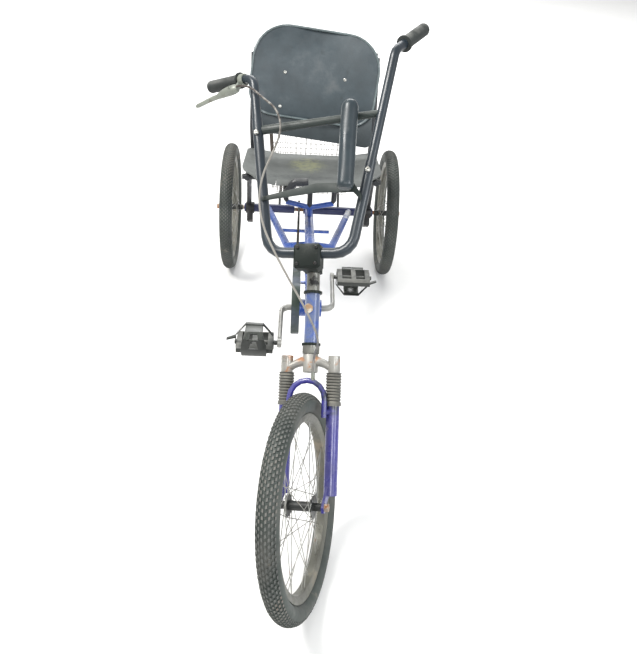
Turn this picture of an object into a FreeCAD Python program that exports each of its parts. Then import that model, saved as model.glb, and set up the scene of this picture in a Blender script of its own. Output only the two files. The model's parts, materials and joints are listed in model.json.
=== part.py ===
import FreeCAD, Part
import math
import os

os.makedirs("parts", exist_ok=True)

# Adapted delta trike: front faces -Y, +X is the rider's left, floor at z = 0.

# Overall layout
wheelbase = 1600.0
track = 634.0
head_angle = 50.0
rest_steer_angle = -17.0
seat_gap = 0.3
tube_sides = 16
bend_step_angle = 20.0
running_fit = 0.05
whole_turn = 360.0
half_turn = 180.0
quarter_turn = 90.0
half_share = 0.5

# Wheels
wheel_radius = 253.0
tyre_section = 25.0
tyre_bead_angle = 150.0
tyre_section_points = 9
wheel_sides = 48
rim_depth = 18.0
rim_half_width = 14.0
rim_neck_half_width = 9.0
rim_shoulder_depth = 9.0
hub_barrel_radius = 11.0
hub_flange_radius = 25.0
hub_flange_thickness = 3.0
hub_flange_offset = 29.0
hub_end_radius = 9.0
hub_half_width = 48.0
spoke_diameter = 2.0
spokes_per_set = 9
wire_sides = 4
spoke_lacing_angle = 82.0
spoke_side_offset = 1.25
spoke_rim_offset = 3.0
wheel_axle_radius = 5.0
rear_axle_radius = 7.5
nut_across = 17.0
nut_thickness = 9.0

# Fork, measured along and across the steering axis from the axle line
fork_offset = 40.0
axle_to_crown = 344.0
leg_spacing = 114.0
stanchion_diameter = 25.4
leg_diameter = 31.0
leg_top = 224.0
leg_bottom = 22.0
leg_bore_depth = 60.0
bellows_top = 300.0
bellows_diameter = 38.0
bellows_neck_diameter = 32.0
bellows_folds = 10
bellows_sides = 14
bellows_cuff_height = 8.0
crown_tube_diameter = 27.0
crown_bend_radius = 24.0
crown_boss_diameter = 36.0
crown_boss_height = 30.0
crown_shoulder = 1.5
steerer_diameter = 25.4
arch_tube_diameter = 13.0
arch_inset = 15.0
arch_lean = 23.0
arch_lug_drop = 14.0
dropout_thickness = 6.0
dropout_inner = 49.0
dropout_half_width = 12.0

# Head tube, headset and stem
tube_diameter = 34.0
head_tube_length = 125.0
head_cup_height = 20.0
head_cup_diameter = 40.0
upper_stack_height = 46.0
upper_stack_diameter = 31.0
stem_reach = 48.0
stem_width = 64.0
stem_height = 58.0
stem_depth = 40.0
stem_corner = 5.0
stem_collar_diameter = 42.0
stem_neck_width = 36.0
steerer_stub = 30.0

# Handlebar, measured from the middle of its clamp in the steering frame
bar_diameter = 25.4
bar_clamp_rise = 38.7
bar_tilt_angle = 1.8
bar_corner_x = 100.0
bar_corner_radius = 45.0
bar_spread_share = 0.16
left_sleeve_end = 215.0
right_sleeve_end = 330.0
extension_diameter = 22.2
left_bend = 482.0
right_bend = 436.0
extension_bend_radius = 30.0
extension_bend_lead = 2.0
grip_length = 118.0
grip_diameter = 32.0
grip_flange_diameter = 40.0
grip_flange_thickness = 4.0
grip_start = 46.0
left_grip_angle = 66.0
left_grip_rise_angle = 42.0
right_grip_angle = 26.0
right_grip_rise_angle = 6.0
crossbar_diameter = 17.0
crossbar_flat_height = 24.0
crossbar_flat_depth = 14.0
crossbar_left_height = 331.0
crossbar_right_height = 300.0
band_height = 22.0
band_tail_height = 10.0
band_end_height = 14.0
band_thickness = 4.0
band_level = 150.0
band_drop = 24.0
band_flat_left = 100.0
band_flat_right = 12.0
post_diameter = 44.0
post_length = 190.0
post_x = 86.0
lever_clamp_diameter = 34.0
lever_clamp_width = 16.0
lever_body_width = 26.0
lever_blade_width = 10.0
lever_reach = 21.0
lever_lean_share = 0.35
lever_body_length = 62.0
lever_body_depth = 48.0
lever_body_shift = 9.0
lever_cable_depth = 34.0
lever_cable_shift = 16.0
lever_blade_length = 140.0
lever_blade_start = 14.0
lever_blade_near = 31.0
lever_blade_far = 52.0
lever_blade_depth = 12.0
cable_diameter = 5.0
cable_sides = 8
cable_bend_share = 0.45
cable_stop_diameter = 9.0
cable_stop_height = 18.0
cable_stop_x = 14.0
cable_stop_lead = 3.0
cable_first_run = 40.0
cable_last_run = 38.0
cable_route = [
    (-117.0, -82.0, 945.0),
    (-80.0, -85.0, 914.0),
    (-65.0, -86.0, 864.0),
    (-83.0, -84.0, 813.0),
    (-109.0, -81.0, 762.0),
    (-118.0, -80.0, 700.0),
    (-106.0, -80.0, 638.0),
    (-75.0, -78.0, 573.0),
    (-39.0, -70.0, 509.0),
    (-5.0, -55.0, 449.0),
    (23.0, -44.0, 392.0),
    (29.0, -40.0, 362.0),
]

# Bottom bracket, crank and pedals
crank_centre_y = 534.0
crank_centre_height = 439.0
crank_rise_angle = 6.0
hanger_diameter = 30.0
backbone_start = 440.0
shell_diameter = 46.0
shell_half_width = 30.0
cup_half_width = 33.0
spindle_diameter = 17.0
crank_length = 150.0
left_arm_inner = 56.0
right_arm_inner = 72.0
crank_arm_thickness = 11.0
crank_arm_width = 24.0
crank_tip_width = 20.0
crank_boss_diameter = 34.0
pedal_axle_diameter = 12.0
pedal_arm_gap = 10.0
pedal_axle_tail = 6.0
pedal_width = 92.0
pedal_length = 78.0
pedal_height = 24.0
pedal_window_width = 26.0
pedal_window_length = 54.0
pedal_window_bars = 3
clip_width = 62.0
clip_thickness = 3.0
clip_top_width = 40.0
clip_reach = 27.0
clip_height = 66.0
clip_top_run = 34.0
clip_window_width = 24.0
clip_window_height = 22.0
strap_band_width = 9.0
strap_band_thickness = 1.6
strap_tail = 24.0

# Chain drive
chain_line = -40.0
chain_pitch = 12.7
ring_teeth = 30
sprocket_teeth = 16
ring_thickness = 2.6
ring_arms = 5
ring_window_inner = 20.0
ring_window_outer = 46.0
ring_window_share = 0.32
chain_width = 8.0
chain_half_height = 4.2
chain_slot = 4.0
tooth_height = 3.4
link_waist_share = 0.6
guard_offset = 11.0
guard_skin = 2.0
guard_width = 22.0
guard_flange_depth = 12.0
guard_rear = 800.0
guard_under_angle = 62.0
guard_tab_diameter = 8.0

# Rear structure
cross_tube_wheel_gap = 7.0
shaft_gap_left = -22.0
shaft_gap_right = -58.0
carrier_inset = 6.0
carrier_length = 34.0
carrier_diameter = 46.0
carrier_drop = 66.0
carrier_half_width = 24.0
carrier_lug_thickness = 22.0
stay_diameter = 25.0
stay_rear_x = 165.0
stay_front_x = 75.0
stay_bend_y = 1090.0
stay_nose_y = 1020.0
stay_nose_drop = 8.0
stay_bend_radius = 60.0
yoke_y = 1400.0
yoke_base_height = 352.0
yoke_arm_x = 90.0
yoke_arm_height = 372.0
yoke_diameter = 20.0
idler_rod_y = 1283.0
idler_rod_reach = 74.0
idler_rod_diameter = 12.0

# Chair
pan_width = 480.0
pan_flat_width = 240.0
pan_wing_angle = 10.0
pan_thickness = 5.0
pan_front_y = 1175.0
pan_rear_y = 1510.0
pan_front_height = 550.0
pan_rear_height = 519.0
pan_lip_radius = 22.0
pan_lip_angle = 78.0
pan_front_corner = 100.0
pan_rear_corner = 40.0
chair_tube_diameter = 19.0
rail_x = 222.0
rail_front_y = 1215.0
rung_overhang = 18.0
upright_gap = 16.0
upright_bend_radius = 30.0
upright_knee_height = 620.0
upright_top_height = 870.0
chair_leg_top_y = 1330.0
chair_leg_inset = 19.0
back_width = 454.0
back_height = 314.0
back_tilt_angle = 6.0
back_thickness = 5.0
back_curve_radius = 620.0
back_top_corner = 125.0
back_low_corner = 85.0
back_recline_angle = 18.0
back_centre_y = 1565.0
back_centre_height = 796.0
strap_height = 30.0
strap_thickness = 4.0
strap_rise = 70.0
strap_fall = -72.0
panel_width = 440.0
panel_height = 112.0
panel_thickness = 4.0
panel_fall = -168.0
panel_corner = 20.0

stub_diameter = 26.0
stub_foot_x = -84.0
stub_foot_y = 1240.0
stub_front_y = 1130.0
stub_low_height = 512.0
stub_rise_x = -60.0
stub_rise_height = 558.0
stub_tip_x = -12.0
stub_tip_height = 561.0
stub_bend_radius = 16.0

# Basket
basket_half_width = 170.0
basket_front_y = 1640.0
basket_rear_y = 1905.0
basket_bottom = 305.0
basket_top = 580.0
basket_wall = 3.0
basket_rim_diameter = 8.0
basket_taper = 18.0
basket_stay_diameter = 10.0
basket_stay_x = 120.0


def point(x, y, z):
    return FreeCAD.Vector(x, y, z)


def radians(angle):
    return angle * math.pi / half_turn


# Steering geometry: along points up the steering axis, ahead points forward and square to it
along = point(0, math.cos(radians(head_angle)), math.sin(radians(head_angle)))
ahead = point(0, -math.sin(radians(head_angle)), math.cos(radians(head_angle)))
wheel_lean = math.asin(math.sin(radians(rest_steer_angle)) * math.cos(radians(head_angle)))
tyre_profile = []
for number in range(tyre_section_points):
    section_angle = radians(tyre_bead_angle * (number / (tyre_section_points - 1) / half_share - 1))
    tyre_profile.append((
        tyre_section * math.sin(section_angle),
        wheel_radius - tyre_section + tyre_section * math.cos(section_angle),
    ))
rest_axle_height = max(r * math.cos(wheel_lean) + abs(x * math.sin(wheel_lean)) for x, r in tyre_profile)
axis_foot = point(
    0,
    -fork_offset * ahead.y,
    rest_axle_height - fork_offset * ahead.z * math.cos(radians(rest_steer_angle)),
)
leg_x = leg_spacing * half_share
head_tube_start = axle_to_crown + head_cup_height
head_tube_end = head_tube_start + head_tube_length
stack_end = head_tube_end + upper_stack_height
bar_height = stack_end + seat_gap + bar_clamp_rise

crank_centre = point(0, crank_centre_y, crank_centre_height)
rear_axle = point(0, wheelbase, wheel_radius)
half_track = track * half_share
tyre_seat_radius = wheel_radius - tyre_section + tyre_section * math.cos(radians(tyre_bead_angle)) - seat_gap
rim_inner_radius = tyre_seat_radius - rim_depth
rim_shoulder_radius = tyre_seat_radius - rim_shoulder_depth
cross_tube_half_length = half_track - hub_half_width - cross_tube_wheel_gap
carrier_outer = cross_tube_half_length - carrier_inset
carrier_inner = carrier_outer - carrier_length
chair_leg_foot_x = cross_tube_half_length - chair_leg_inset


# Steering frame: x sideways, y rearward and square to the axis, z up the axis
def on_steering(shape):
    placed = shape.copy()
    placed.rotate(point(0, 0, 0), point(0, 0, 1), rest_steer_angle)
    placed.rotate(point(0, 0, 0), point(1, 0, 0), head_angle - quarter_turn)
    placed.translate(axis_foot)
    return placed


def on_axis(x, y, z):
    return axis_foot + along * z - ahead * y + point(x, 0, 0)


# Building blocks
def pin(start, end, diameter):
    way = end - start
    return Part.makeCylinder(diameter * half_share, way.Length, start, way)


def ring_corners(centre, way, diameter, sides):
    guide = point(0, 0, 1) if abs(way.x) > half_share else point(1, 0, 0)
    across = way.cross(guide).normalize()
    other = way.cross(across).normalize()
    corners = []
    for side in range(sides):
        angle = radians(whole_turn / sides * side)
        corners.append(centre + (across * math.cos(angle) + other * math.sin(angle)) * (diameter * half_share))
    return corners


def closed_face(corners):
    return Part.Face(Part.makePolygon(corners + [corners[0]]))


# A straight or bent tube with flat sides, mitred at every station
def tube(stations, diameter, sides):
    ways = [(after - before).normalize() for before, after in zip(stations, stations[1:])]
    ring = ring_corners(stations[0], ways[0], diameter, sides)
    faces = [closed_face(ring)]
    for number, way in enumerate(ways):
        square = way + ways[min(number + 1, len(ways) - 1)]
        place = stations[number + 1]
        following = []
        for corner in ring:
            reach = (place - corner).dot(square) / way.dot(square)
            following.append(corner + way * reach)
        for side in range(sides):
            after = (side + 1) % sides
            faces.append(closed_face([ring[side], ring[after], following[after], following[side]]))
        ring = following
    faces.append(closed_face(ring))
    solid = Part.Solid(Part.Shell(faces))
    if solid.Volume < 0:
        solid.reverse()
    return solid


def rod(start, end, diameter):
    return tube([start, end], diameter, tube_sides)


def straight_wire(start, end, diameter):
    return tube([start, end], diameter, wire_sides)


def turned(profile, sides):
    faces = []
    for (r0, z0), (r1, z1) in zip(profile, profile[1:] + profile[:1]):
        if r0 == 0 and r1 == 0:
            continue
        for number in range(sides):
            corners = []
            for r, z, step in ((r0, z0, 0), (r1, z1, 0), (r1, z1, 1), (r0, z0, 1)):
                angle = radians(whole_turn / sides * (number + step))
                if r > 0 or step == 0:
                    corners.append(point(r * math.cos(angle), r * math.sin(angle), z))
            faces.append(closed_face(corners))
    solid = Part.Solid(Part.Shell(faces))
    if solid.Volume < 0:
        solid.reverse()
    return solid


def fuse_all(shapes):
    joined = shapes[0]
    for shape in shapes[1:]:
        joined = joined.fuse(shape)
    return joined.removeSplitter()


def bent_line(corners, radius):
    line = [corners[0]]
    for before, corner, after in zip(corners, corners[1:], corners[2:]):
        way_in = (corner - before).normalize()
        way_out = (after - corner).normalize()
        turn = way_in.getAngle(way_out)
        arc_start = corner - way_in * (radius * math.tan(turn * half_share))
        inward = (way_out - way_in).normalize()
        centre = corner + inward * (radius / math.cos(turn * half_share))
        steps = max(1, round(math.degrees(turn) / bend_step_angle))
        for step in range(steps + 1):
            angle = turn * step / steps
            place = centre + (arc_start - centre) * math.cos(angle) + way_in * (radius * math.sin(angle))
            if (place - line[-1]).Length > seat_gap:
                line.append(place)
    line.append(corners[-1])
    return line


def bent_rod(corners, radius, diameter):
    return tube(bent_line(corners, radius), diameter, tube_sides)


def slab(corners, depth):
    outline = Part.makePolygon(corners + [corners[0]])
    return Part.Face(outline).extrude(depth)


def spun(profile):
    corners = [point(x, 0, r) for x, r in profile]
    outline = Part.makePolygon(corners + [corners[0]])
    return Part.Face(outline).revolve(point(0, 0, 0), point(1, 0, 0), whole_turn)


def hex_nut(centre, way):
    sides = 6
    tip = centre + point(way * nut_thickness, 0, 0)
    return tube([centre, tip], nut_across / math.cos(math.pi / sides), sides)


# Wheels, each built about the x axis
def wheel_turned(profile):
    grown = 1 / math.cos(math.pi / wheel_sides)
    solid = turned([(r * grown, x) for x, r in profile], wheel_sides)
    solid.rotate(point(0, 0, 0), point(0, 0, 1), half_turn / wheel_sides)
    solid.rotate(point(0, 0, 0), point(0, 1, 0), quarter_turn)
    return solid


def tyre():
    return wheel_turned(tyre_profile)


def rim():
    return wheel_turned([
        (-rim_half_width, tyre_seat_radius),
        (-rim_half_width, rim_shoulder_radius),
        (-rim_neck_half_width, rim_inner_radius),
        (rim_neck_half_width, rim_inner_radius),
        (rim_half_width, rim_shoulder_radius),
        (rim_half_width, tyre_seat_radius),
    ])


def hub(axle_radius):
    end_radius = max(hub_end_radius, axle_radius + tooth_height)
    barrel_radius = max(hub_barrel_radius, end_radius)
    middle = point(0, 0, 0)
    pieces = [
        rod(point(-hub_half_width, 0, 0), point(hub_half_width, 0, 0), end_radius / half_share),
        rod(point(-hub_flange_offset, 0, 0), point(hub_flange_offset, 0, 0), barrel_radius / half_share),
    ]
    half_flange = point(hub_flange_thickness * half_share, 0, 0)
    for side in (-1, 1):
        centre = middle + point(side * hub_flange_offset, 0, 0)
        pieces.append(rod(centre - half_flange, centre + half_flange, hub_flange_radius / half_share))
    hole_end = point(hub_half_width + seat_gap, 0, 0)
    return fuse_all(pieces).cut(pin(-hole_end, hole_end, (axle_radius + running_fit) / half_share))


def spoke_set(side, outside, turn):
    spokes = []
    step = whole_turn / spokes_per_set
    sign = 1 if outside else -1
    hub_x = side * (hub_flange_offset + sign * spoke_side_offset)
    rim_x = side * (spoke_rim_offset + sign * spoke_diameter)
    rim_radius = rim_inner_radius - seat_gap
    hub_radius = hub_flange_radius + seat_gap + spoke_diameter * half_share
    for number in range(spokes_per_set):
        hub_angle = radians(step * number + (step * half_share if side < 0 else 0))
        rim_angle = hub_angle + radians(turn)
        start = point(hub_x, hub_radius * math.cos(hub_angle), hub_radius * math.sin(hub_angle))
        end = point(rim_x, rim_radius * math.cos(rim_angle), rim_radius * math.sin(rim_angle))
        way = (end - start).normalize()
        spokes.append(straight_wire(start, end - way * seat_gap, spoke_diameter))
    return spokes


def spokes():
    laced = []
    for side in (-1, 1):
        laced += spoke_set(side, True, spoke_lacing_angle)
        laced += spoke_set(side, False, -spoke_lacing_angle)
    return Part.makeCompound(laced)


def wheel_pieces(axle_radius):
    return {"tyre": tyre(), "rim": rim(), "spokes": spokes(), "hub": hub(axle_radius)}


def shifted(shape, x, y, z):
    moved = shape.copy()
    moved.translate(point(x, y, z))
    return moved


# Fork
def fork_crown():
    top = axle_to_crown - crown_shoulder - crown_tube_diameter * half_share
    arms = bent_rod([
        point(-leg_x, 0, top - crown_tube_diameter),
        point(-leg_x, 0, top),
        point(leg_x, 0, top),
        point(leg_x, 0, top - crown_tube_diameter),
    ], crown_bend_radius, crown_tube_diameter)
    boss_low = axle_to_crown - crown_boss_height
    boss = rod(point(0, 0, boss_low), point(0, 0, axle_to_crown), crown_boss_diameter)
    steerer = pin(point(0, 0, top), point(0, 0, stack_end + steerer_stub), steerer_diameter)
    pieces = [arms, boss, steerer]
    for side in (-1, 1):
        foot = point(side * leg_x, 0, leg_top - leg_bore_depth + seat_gap)
        pieces.append(rod(foot, point(side * leg_x, 0, top - crown_bend_radius), stanchion_diameter))
    return fuse_all(pieces)


def bellows_profile():
    outer = bellows_diameter * half_share
    neck = bellows_neck_diameter * half_share
    base = leg_top + bellows_cuff_height
    fold = (bellows_top - base) / bellows_folds
    profile = [(outer, leg_top + seat_gap), (outer, base)]
    for number in range(bellows_folds):
        low = base + number * fold
        profile += [(neck, low + fold * half_share), (outer, low + fold)]
    return profile


def bellows():
    both = []
    hole = stanchion_diameter * half_share / math.cos(math.pi / bellows_sides) + seat_gap
    profile = [(hole, leg_top + seat_gap)] + bellows_profile() + [(hole, bellows_top)]
    boot = turned(profile, bellows_sides)
    for side in (-1, 1):
        both.append(shifted(boot, side * leg_x, 0, 0))
    return Part.makeCompound(both)


def dropout(side):
    inner = side * dropout_inner
    corners = [
        point(inner, -fork_offset - dropout_half_width, 0),
        point(inner, -fork_offset - dropout_half_width * half_share, -dropout_half_width),
        point(inner, -fork_offset + dropout_half_width * half_share, -dropout_half_width),
        point(inner, -fork_offset + dropout_half_width, 0),
        point(inner, dropout_half_width, leg_bottom + dropout_half_width),
        point(inner, -dropout_half_width, leg_bottom + dropout_half_width / half_share),
    ]
    return slab(corners, point(side * dropout_thickness, 0, 0))


def arch(diameter):
    arch_x = leg_x - arch_inset
    low = leg_top - arch_lug_drop - arch_tube_diameter
    top = leg_top + leg_x
    return bent_rod([
        point(-arch_x, -arch_lean, low),
        point(-arch_x, -arch_lean, top),
        point(arch_x, -arch_lean, top),
        point(arch_x, -arch_lean, low),
    ], arch_x, diameter)


def fork_lowers():
    pieces = []
    for side in (-1, 1):
        foot = point(side * leg_x, 0, leg_bottom)
        pieces.append(rod(foot, point(side * leg_x, 0, leg_top), leg_diameter))
        pieces.append(dropout(side))
    front = -arch_lean
    arch_x = leg_x - arch_inset
    pieces.append(arch(arch_tube_diameter))
    for side in (-1, 1):
        lug_height = leg_top - arch_lug_drop
        pieces.append(rod(point(side * leg_x, 0, lug_height), point(side * arch_x, front, lug_height), arch_tube_diameter))
    body = fuse_all(pieces)
    for side in (-1, 1):
        well_low = point(side * leg_x, 0, leg_top - leg_bore_depth)
        well_top = point(side * leg_x, 0, leg_top + bellows_diameter / half_share)
        well_diameter = stanchion_diameter + seat_gap / half_share
        body = body.cut(pin(well_low, well_top, well_diameter))
        boot_low = point(side * leg_x, 0, leg_top)
        body = body.cut(pin(boot_low, well_top, bellows_diameter + seat_gap / half_share))
    hole_end = dropout_inner + dropout_thickness + leg_diameter
    hole = pin(
        point(-hole_end, -fork_offset, 0),
        point(hole_end, -fork_offset, 0),
        (wheel_axle_radius + running_fit) / half_share,
    )
    return body.cut(hole)


def front_axle():
    reach = dropout_inner + dropout_thickness + nut_thickness + seat_gap
    shaft = pin(point(-reach, -fork_offset, 0), point(reach, -fork_offset, 0), wheel_axle_radius / half_share)
    pieces = [shaft]
    for side in (-1, 1):
        face = side * (dropout_inner + dropout_thickness + seat_gap * half_share)
        nut = hex_nut(point(face, -fork_offset, 0), side)
        pieces.append(nut)
    return fuse_all(pieces)


# Stem
def stem():
    half = stem_width * half_share
    low = stack_end + seat_gap
    front = -stem_reach - stem_depth * half_share
    block = Part.makeBox(stem_width, stem_depth, stem_height, point(-half, front, low))
    block = block.makeChamfer(stem_corner, block.Edges)
    neck_half = stem_neck_width * half_share
    neck = Part.makeBox(stem_neck_width, stem_reach, stem_height, point(-neck_half, -stem_reach, low))
    collar = rod(point(0, 0, low), point(0, 0, low + stem_height), stem_collar_diameter)
    solid = fuse_all([block, neck, collar])
    passage = pin(point(-stem_width, 0, 0), point(stem_width, 0, 0), bar_diameter + running_fit / half_share)
    post_hole = pin(
        point(0, 0, stack_end - steerer_stub),
        point(0, 0, stack_end + steerer_stub + seat_gap),
        steerer_diameter + running_fit / half_share,
    )
    return solid.cut(in_bar_clamp(passage)).cut(post_hole)


# Bar frame: from the middle of the clamp, x sideways, y rearward, z up along the steering axis
def in_bar_clamp(shape):
    placed = shape.copy()
    placed.rotate(point(0, 0, 0), point(0, 1, 0), bar_tilt_angle)
    placed.translate(point(0, -stem_reach, bar_height))
    return placed


def arm_x(height):
    return bar_corner_x + height * bar_spread_share


def handlebar():
    return bent_rod([
        point(-arm_x(right_sleeve_end), 0, right_sleeve_end),
        point(-bar_corner_x, 0, 0),
        point(bar_corner_x, 0, 0),
        point(arm_x(left_sleeve_end), 0, left_sleeve_end),
    ], bar_corner_radius, bar_diameter)


def grip_way(side, turn, rise):
    sideways = side * math.cos(radians(turn)) * math.cos(radians(rise))
    rearward = math.sin(radians(turn)) * math.cos(radians(rise))
    return point(sideways, rearward, math.sin(radians(rise)))


def arm_end(side):
    if side > 0:
        bend = point(arm_x(left_bend), 0, left_bend)
        way = grip_way(side, left_grip_angle, left_grip_rise_angle)
        start = point(arm_x(left_sleeve_end), 0, left_sleeve_end)
    else:
        bend = point(-arm_x(right_bend), 0, right_bend)
        way = grip_way(side, right_grip_angle, right_grip_rise_angle)
        start = point(-arm_x(right_sleeve_end), 0, right_sleeve_end)
    return start, bend, way


def bar_extensions():
    both = []
    for side in (-1, 1):
        start, bend, way = arm_end(side)
        tip = bend + way * (grip_start + grip_length - grip_flange_thickness)
        up = (bend - start).normalize()
        bend_start = bend - up * (extension_bend_radius * math.tan(up.getAngle(way) * half_share))
        straight_end = bend_start - up * extension_bend_lead
        straight = pin(start + up * seat_gap, straight_end, extension_diameter)
        inset = straight_end - up * seat_gap
        curved = bent_rod([inset, bend, tip], extension_bend_radius, extension_diameter - running_fit / half_share)
        both.append(straight.fuse(curved))
    return Part.makeCompound(both)


def grips():
    both = []
    for side in (-1, 1):
        start, bend, way = arm_end(side)
        inner = bend + way * grip_start
        outer = inner + way * grip_length
        body = rod(inner, outer, grip_diameter)
        flange = rod(inner, inner + way * grip_flange_thickness, grip_flange_diameter)
        hole = pin(
            inner - way * seat_gap,
            outer - way * (grip_flange_thickness - seat_gap),
            extension_diameter + seat_gap / half_share,
        )
        both.append(fuse_all([body, flange]).cut(hole))
    return Part.makeCompound(both)


def flattened_ring(centre, height, depth):
    corners = []
    for side in range(tube_sides):
        angle = radians(whole_turn / tube_sides * side)
        corners.append(centre + point(0, depth * half_share * math.cos(angle), height * half_share * math.sin(angle)))
    return corners


def tapered_bar(first, last):
    faces = [closed_face(first), closed_face(last)]
    for side in range(tube_sides):
        after = (side + 1) % tube_sides
        faces.append(closed_face([first[side], first[after], last[after]]))
        faces.append(closed_face([first[side], last[after], last[side]]))
    solid = Part.Solid(Part.Shell(faces))
    if solid.Volume < 0:
        solid.reverse()
    return solid


def crossbar():
    left_end = point(arm_x(crossbar_left_height), 0, crossbar_left_height)
    right_end = point(-arm_x(crossbar_right_height), 0, crossbar_right_height)
    left_round = flattened_ring(left_end, crossbar_diameter, crossbar_diameter)
    right_flat = flattened_ring(right_end, crossbar_flat_height, crossbar_flat_depth)
    bar = tapered_bar(right_flat, left_round)
    left_start, left_corner, way = arm_end(1)
    thin = pin(left_start, left_corner, extension_diameter + seat_gap / half_share)
    right_start, right_corner, way = arm_end(-1)
    thick = pin(point(-bar_corner_x, 0, 0), right_start, bar_diameter + seat_gap / half_share)
    solid = bar.cut(thin).cut(thick)
    return sorted(solid.Solids, key=lambda piece: -piece.Volume)[0]


def bar_band():
    front = -bar_diameter * half_share - seat_gap
    low = band_level - band_drop
    line = [
        (-arm_x(low), low, band_tail_height),
        (band_flat_right, band_level, band_height),
        (band_flat_left, band_level, band_height),
        (arm_x(low), low, band_end_height),
    ]
    lower = [point(x, front, z - height * half_share) for x, z, height in line]
    upper = [point(x, front, z + height * half_share) for x, z, height in reversed(line)]
    return slab(lower + upper, point(0, -band_thickness, 0))


def padded_post():
    band_front = -bar_diameter * half_share - seat_gap / half_share - band_thickness
    centre = band_front - post_diameter * half_share
    foot = point(post_x, centre, band_level - band_height * half_share)
    radius = post_diameter * half_share
    dome_steps = 4
    profile = [(0, 0), (radius, 0)]
    for step in range(dome_steps):
        angle = radians(quarter_turn * step / dome_steps)
        profile.append((radius * math.cos(angle), post_length + radius * math.sin(angle)))
    profile.append((0, post_length + radius))
    pad = turned(profile, tube_sides)
    pad.translate(foot)
    return pad


def lever_frame():
    start, bend, way = arm_end(-1)
    centre = bend + way * (grip_start - lever_clamp_width * half_share - seat_gap)
    hanging = point(0, -lever_lean_share, -1)
    square = (hanging - way * hanging.dot(way)).normalize()
    return centre, way, square


def lever_plate(outline, thickness, shift):
    centre, way, square = lever_frame()
    front = way.cross(square).normalize()
    base = centre + front * (shift - thickness * half_share)
    return slab([base + way * reach + square * depth for reach, depth in outline], front * thickness)


def brake_lever():
    centre, way, square = lever_frame()
    half = lever_clamp_width * half_share
    ring = rod(centre - way * half, centre + way * half, lever_clamp_diameter)
    third_share = 1 / 3
    body = lever_plate([
        (-half, half),
        (half, half),
        (half, lever_reach),
        (lever_body_length, lever_body_depth * (1 - third_share)),
        (lever_body_length - half, lever_body_depth),
        (half, lever_body_depth - half * half_share),
        (-half, lever_body_depth - half),
    ], lever_body_width, lever_body_shift)
    near = lever_blade_near
    far = lever_blade_far
    thick = lever_blade_depth
    length = lever_blade_length
    blade = lever_plate([
        (lever_blade_start, near),
        (length * half_share, near + thick * third_share),
        (length * (1 - third_share * half_share), far - thick * (1 + third_share)),
        (length, far - thick * half_share),
        (length, far),
        (length * (1 - third_share), far - thick * half_share),
        (length * half_share, near + thick * (1 + third_share)),
        (lever_blade_start, near + thick),
    ], lever_blade_width, lever_body_shift)
    hole_end = way * lever_clamp_width
    hole = pin(centre - hole_end, centre + hole_end, extension_diameter + seat_gap / half_share)
    return fuse_all([ring, body, blade]).cut(hole)


# Brake cable, in the steering frame: from the lever past the crossbar, stem and crown to the arch
def cable_corners():
    centre, way, square = lever_frame()
    half = lever_clamp_width * half_share
    front = way.cross(square).normalize()
    face = centre - way * (half + seat_gap) + square * lever_cable_depth + front * lever_cable_shift
    start = in_bar_clamp(Part.Vertex(face)).Point
    lead = in_bar_clamp(Part.Vertex(face - way * cable_first_run)).Point
    middle = [point(x, y, z) for x, y, z in cable_route]
    last = stop_top() + point(0, -cable_stop_lead, cable_last_run)
    return [start, lead] + middle + [last, stop_top() + point(0, 0, seat_gap)]


def stop_top():
    return point(cable_stop_x, -arch_lean - cable_stop_lead, leg_top + leg_x + cable_stop_height)


def cable_stop():
    foot = stop_top() - point(0, 0, cable_stop_height)
    return rod(foot, stop_top(), cable_stop_diameter).cut(arch(arch_tube_diameter + seat_gap / half_share))


def cord_wire(corners):
    edges = []
    radii = []
    start = corners[0]
    for before, corner, after in zip(corners, corners[1:], corners[2:]):
        way_in = (corner - before).normalize()
        way_out = (after - corner).normalize()
        turn = way_in.getAngle(way_out)
        run = cable_bend_share * min((corner - before).Length, (after - corner).Length)
        radius = run / math.tan(turn * half_share)
        radii.append(round(radius, 1))
        inward = (way_out - way_in).normalize()
        centre = corner + inward * (radius / math.cos(turn * half_share))
        arc_start = corner - way_in * run
        arc_end = corner + way_out * run
        edges.append(Part.LineSegment(start, arc_start).toShape())
        edges.append(Part.Arc(arc_start, centre - inward * radius, arc_end).toShape())
        start = arc_end
    edges.append(Part.LineSegment(start, corners[-1]).toShape())
    return Part.Wire(edges), radii


def brake_cable():
    corners = cable_corners()
    path, radii = cord_wire(corners)
    print("cable radii", radii)
    print("cable length", round(path.Length, 1))
    way = (corners[1] - corners[0]).normalize()
    ring = ring_corners(corners[0], way, cable_diameter, cable_sides)
    section_wire = Part.makePolygon(ring + [ring[0]])
    cord = path.makePipeShell([section_wire], True, False)
    section = Part.Face(section_wire).Area
    print("cable volume", round(cord.Volume), "section times length", round(section * path.Length))
    return cord


# Frame
def backbone_at(y):
    nose = on_axis(0, 0, backbone_start)
    share = (y - nose.y) / (rear_axle.y - nose.y)
    return nose + (rear_axle - nose) * share


def guard_tab(y):
    flange = chain_line + guard_width * half_share + seat_gap
    height = upper_run_height(y) + guard_offset * half_share
    half = guard_tab_diameter * half_share
    root = backbone_at(y)
    return slab([
        point(0, y - half, root.z - half),
        point(0, y - half, root.z + half),
        point(flange, y - half, height + half * half_share),
        point(flange, y - half, height - half * half_share),
    ], point(0, guard_tab_diameter, 0))


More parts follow.
